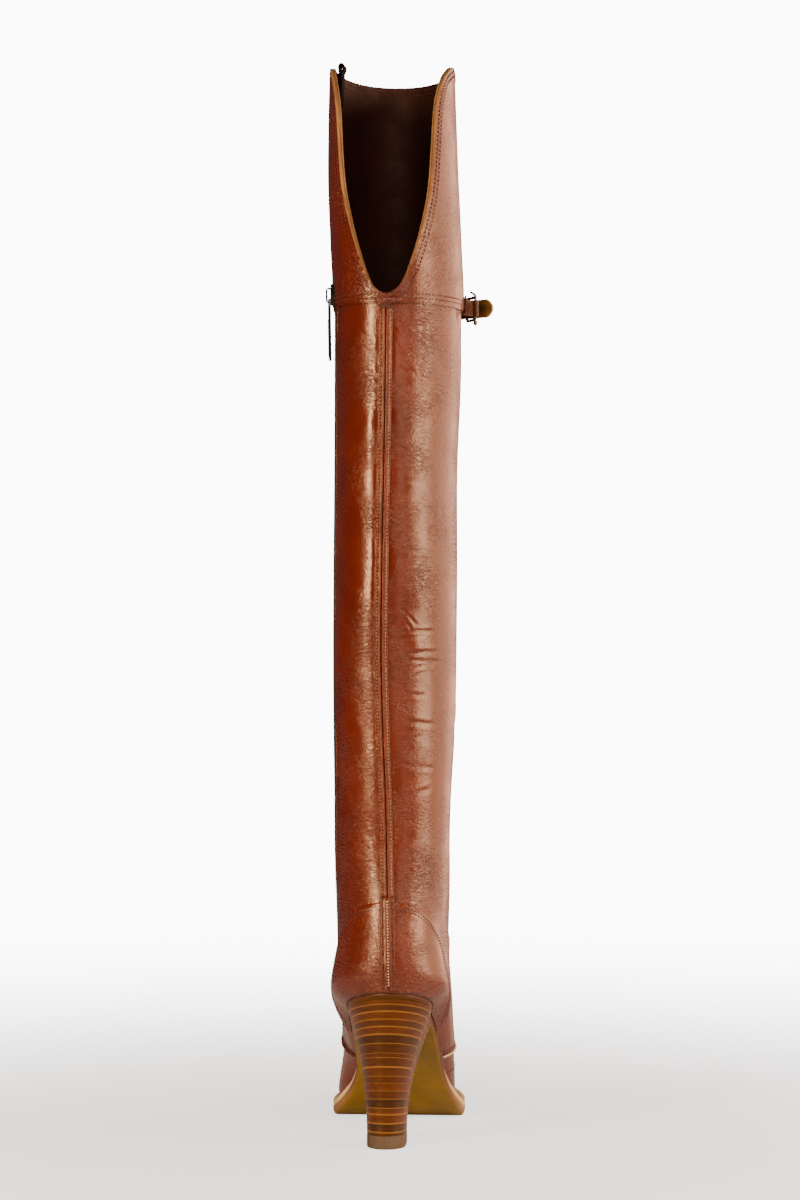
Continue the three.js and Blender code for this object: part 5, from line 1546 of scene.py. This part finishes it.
links.new(uneven.outputs[0], lift_part.inputs[0])
links.new(uneven.outputs[0], lift_number.inputs[0])
links.new(lift_number.outputs[0], lift_tone.inputs["W"])
links.new(lift_tone.outputs["Value"], lift_shade.inputs["Value"])
links.new(lift_shade.outputs["Result"], shaded.inputs["Scale"])
links.new(dye.outputs["Color"], shaded.inputs[0])
links.new(lift_part.outputs[0], glue.inputs["Fac"])
links.new(glue.outputs["Color"], faint.inputs[0])
links.new(place.outputs["Object"], long_grain.inputs["Vector"])
links.new(long_grain.outputs["Vector"], fibre.inputs["Vector"])
links.new(fibre.outputs["Fac"], dye.inputs["Fac"])
links.new(shaded.outputs["Vector"], lined.inputs["A"])
links.new(faint.outputs[0], lined.inputs["Factor"])
links.new(lined.outputs["Result"], surface.inputs["Base Color"])
links.new(fibre.outputs["Fac"], relief.inputs["Height"])
links.new(relief.outputs["Normal"], surface.inputs["Normal"])
surface.inputs["Roughness"].default_value = 0.38
surface.inputs["Specular Tint"].default_value = (1, 0.68, 0.36, 1)
add_piece("heel_lifts", points, faces, [stack_finish], ["heel_stack"], uv=heel_uv, sharp=50)

rubber = leather("top_lift_rubber", (0.11, 0.07, 0.042), (0.07, 0.042, 0.024), 0.7, 1.6, 0.0)
shrink = [(0.975, 0), (0.99, 0.25), (1, 0.8), (1.003, 4), (1, 7.6), (0.99, 8)]
centre = tread.mean(axis=0)
lift_rows = np.array([[[*(centre + (p - centre) * s), z] for p in tread] for s, z in shrink])
points, faces = strip(lift_rows)
add_piece("rubber_top_lift", points, faces, [rubber], ["top_lift"], tint=np.ones((len(points), 3)), sharp=60)


# SOLE AND WELT. A leather outsole with a pale trimmed edge and an ochre underside, and round the
# forefoot a cream welt sewn down through its top.
def sole_leather(name, base, deep, rough):
    material = leather(name, base, deep, rough, 1.6, 0.1)
    return material


sole_edge = sole_leather("sole_edge", (0.27, 0.125, 0.036), (0.16, 0.066, 0.015), 0.45)
underside = sole_leather("sole_underside", (0.235, 0.13, 0.005), (0.15, 0.078, 0.0025), 0.6)
welt_leather = sole_leather("welt_leather", (0.74, 0.50, 0.24), (0.55, 0.33, 0.13), 0.5)
ring_turn = np.concatenate([np.linspace(0, 1, 90), np.linspace(-1, 0, 90)[1:-1]])
margins = sole_margin(ring_turn)
edge_profile = [
    (-3.4, 0, 0),
    (-2.0, 0, 0.12),
    (-1.1, 0, 0.5),
    (-0.4, 0, 1.2),
    (0, 0, 2.2),
    (0.1, 0.62, 0),
    (0, 1, -0.6),
    (-0.3, 1, -0.15),
    (-1, 1, 0),
]
loops = []
for inset, share, lift in edge_profile:
    flat = outline_point(ring_turn, margins + inset)
    y = flat[:, 1]
    z = mix(sole_bottom(y), sole_top(y), share) + lift * np.minimum(1, (sole_top(y) - sole_bottom(y)) / 4)
    loops.append(np.column_stack([flat, z]))
loops = np.array(loops)
count = len(ring_turn)
faces = [list(f) for f in grid(len(loops), count, True)]
face_finish = [1] * (2 * count) + [0] * (len(faces) - 2 * count)
for start, flip in [(0, False), ((len(loops) - 1) * count, True)]:
    for i in range(count // 2):
        quad = [start + i, start + i + 1, start + (count - i - 1) % count, start + (count - i) % count]
        quad = list(dict.fromkeys(quad))
        faces.append(quad if flip else quad[::-1])
        face_finish.append(0 if flip else 1)
points = loops.reshape(-1, 3)
edge_shade = np.ones((*loops.shape[:2], 3))
waxed = 1 - fore_share(loops[..., 1])
waxed[-2:] *= 0.2
edge_shade *= mix(np.ones(3), np.array([0.34, 0.16, 0.05]), waxed[..., None])
edge_shade[:3] = 1
add_piece(
    "leather_outsole",
    points,
    faces,
    [sole_edge, underside],
    ["outsole"],
    faces_finish=face_finish,
    tint=edge_shade.reshape(-1, 3),
    sharp=50,
)

welt_turns = np.linspace(0.4, 1.6, 240)
start_y = heel_back + 0.47 * foot_length
fine = np.linspace(0.2, 0.8, 600)
right_start = np.interp(start_y, skin(0.0, fine)[:, 1], fine)
left_start = np.interp(start_y, skin(0.0, -fine)[:, 1], fine)
welt_turns = np.linspace(right_start, 2 - left_start, 260)
welt_bend = (welt_turns + 1) % 2 - 1
welt_margins = sole_margin(welt_bend)
welt_rows = []
for inset, share, lift in [(None, 0, 0), (-0.6, 0, 0), (-0.1, 0, 0.3), (0, 0.5, 0), (-0.1, 1, -0.5), (-0.5, 1, -0.1), (-1.2, 1, 0), (None, 1, 0)]:
    out = welt_margins + inset if inset is not None else np.full(len(welt_turns), -7.0)
    flat = outline_point(welt_bend, out)
    y = flat[:, 1]
    low = sole_top(y) + 0.15
    high = np.maximum(feather(y), low + 0.2)
    z = mix(low, high, share) + lift * np.minimum(1, (high - low) / 2)
    welt_rows.append(np.column_stack([flat, z]))
welt_rows = np.stack(welt_rows, 1)
points, faces = strip(welt_rows)
add_piece("sewn_welt", points, faces, [welt_leather], ["welt"], tint=np.ones((len(points), 3)), sharp=50)
flat = outline_point(welt_bend, welt_margins - np.minimum(2.2, 0.45 * welt_margins))
path = np.column_stack([flat, feather(flat[:, 1]) + 0.05])[12:-12]
stitches("welt_stitches", [(path, np.repeat([[0.0, 0, 1]], len(path), 0))], 3.1, 2.3, 0.42, cream_thread)


# INSOLE. The leather board inside, as the frame has it, with a waxed suede look.
board = leather("insole_board", (0.26, 0.12, 0.05), (0.17, 0.07, 0.03), 0.7, 1.5, 0.0)
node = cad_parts["insole"]
node.data.materials.clear()
node.data.materials.append(board)
shade = node.data.color_attributes.new("tint", "FLOAT_COLOR", "POINT")
shade.data.foreach_set("color", np.ones(len(node.data.vertices) * 4, dtype=np.float32))


# PULL LOOP. A doubled cotton tape sewn inside the cuff on the inner side, to pull the boot on by.
loop_tape = cloth("loop_tape", (0.007, 0.004, 0.003), (0.004, 0.002, 0.002), 700)
loop_tape.node_tree.nodes["Principled BSDF"].inputs["Sheen Weight"].default_value = 0
loop_tape.node_tree.nodes["Principled BSDF"].inputs["Specular IOR Level"].default_value = 0.1
loop_rows = table(
    ["out", "up"],
    [
        [-0.5, -20],
        [-0.5, -10],
        [-0.5, 0],
        [-0.1, 2.75],
        [-0.9, 4.65],
        [-2.0, 5],
        [-3.1, 3.75],
        [-3.0, 1.75],
        [-2.1, 0],
        [-2.0, -10],
        [-2.0, -20],
    ],
)
loop_at = np.linspace(0, 1, 11)
fine = np.linspace(0, 1, 70)
loop_out = curve(loop_at, loop_rows["out"])(fine)
loop_up = curve(loop_at, loop_rows["up"])(fine)
run_out, run_up = np.gradient(loop_out), np.gradient(loop_up)
size = np.hypot(run_out, run_up)
loop_middle = heel_back + 0.285 * foot_length
tape_profile = [(-6.5, -0.3), (-6.3, 0.4), (-6, 0.5), (0, 0.5), (6, 0.5), (6.3, 0.4), (6.5, -0.3), (6, -0.5), (0, -0.5), (-6, -0.5)]
rows = []
for side, thick in tape_profile:
    out = -2.4 - gap - 0.5 + 0.5 + loop_out + thick * run_up / size
    up = loop_up - thick * run_out / size
    turn = turn_where(np.full(len(fine), float(last_ring)), np.full(len(fine), loop_middle + side), -1)
    level = level_where(turn, lambda y, t: boot_height + np.minimum(up, 0))
    points = proud(level, turn, out)
    points[:, 2] = boot_height + up
    rows.append(points)
points, faces = strip(np.stack(rows, 1))
add_piece("pull_loop_tape", points, faces, [loop_tape], ["pull_loop"], sharp=60)
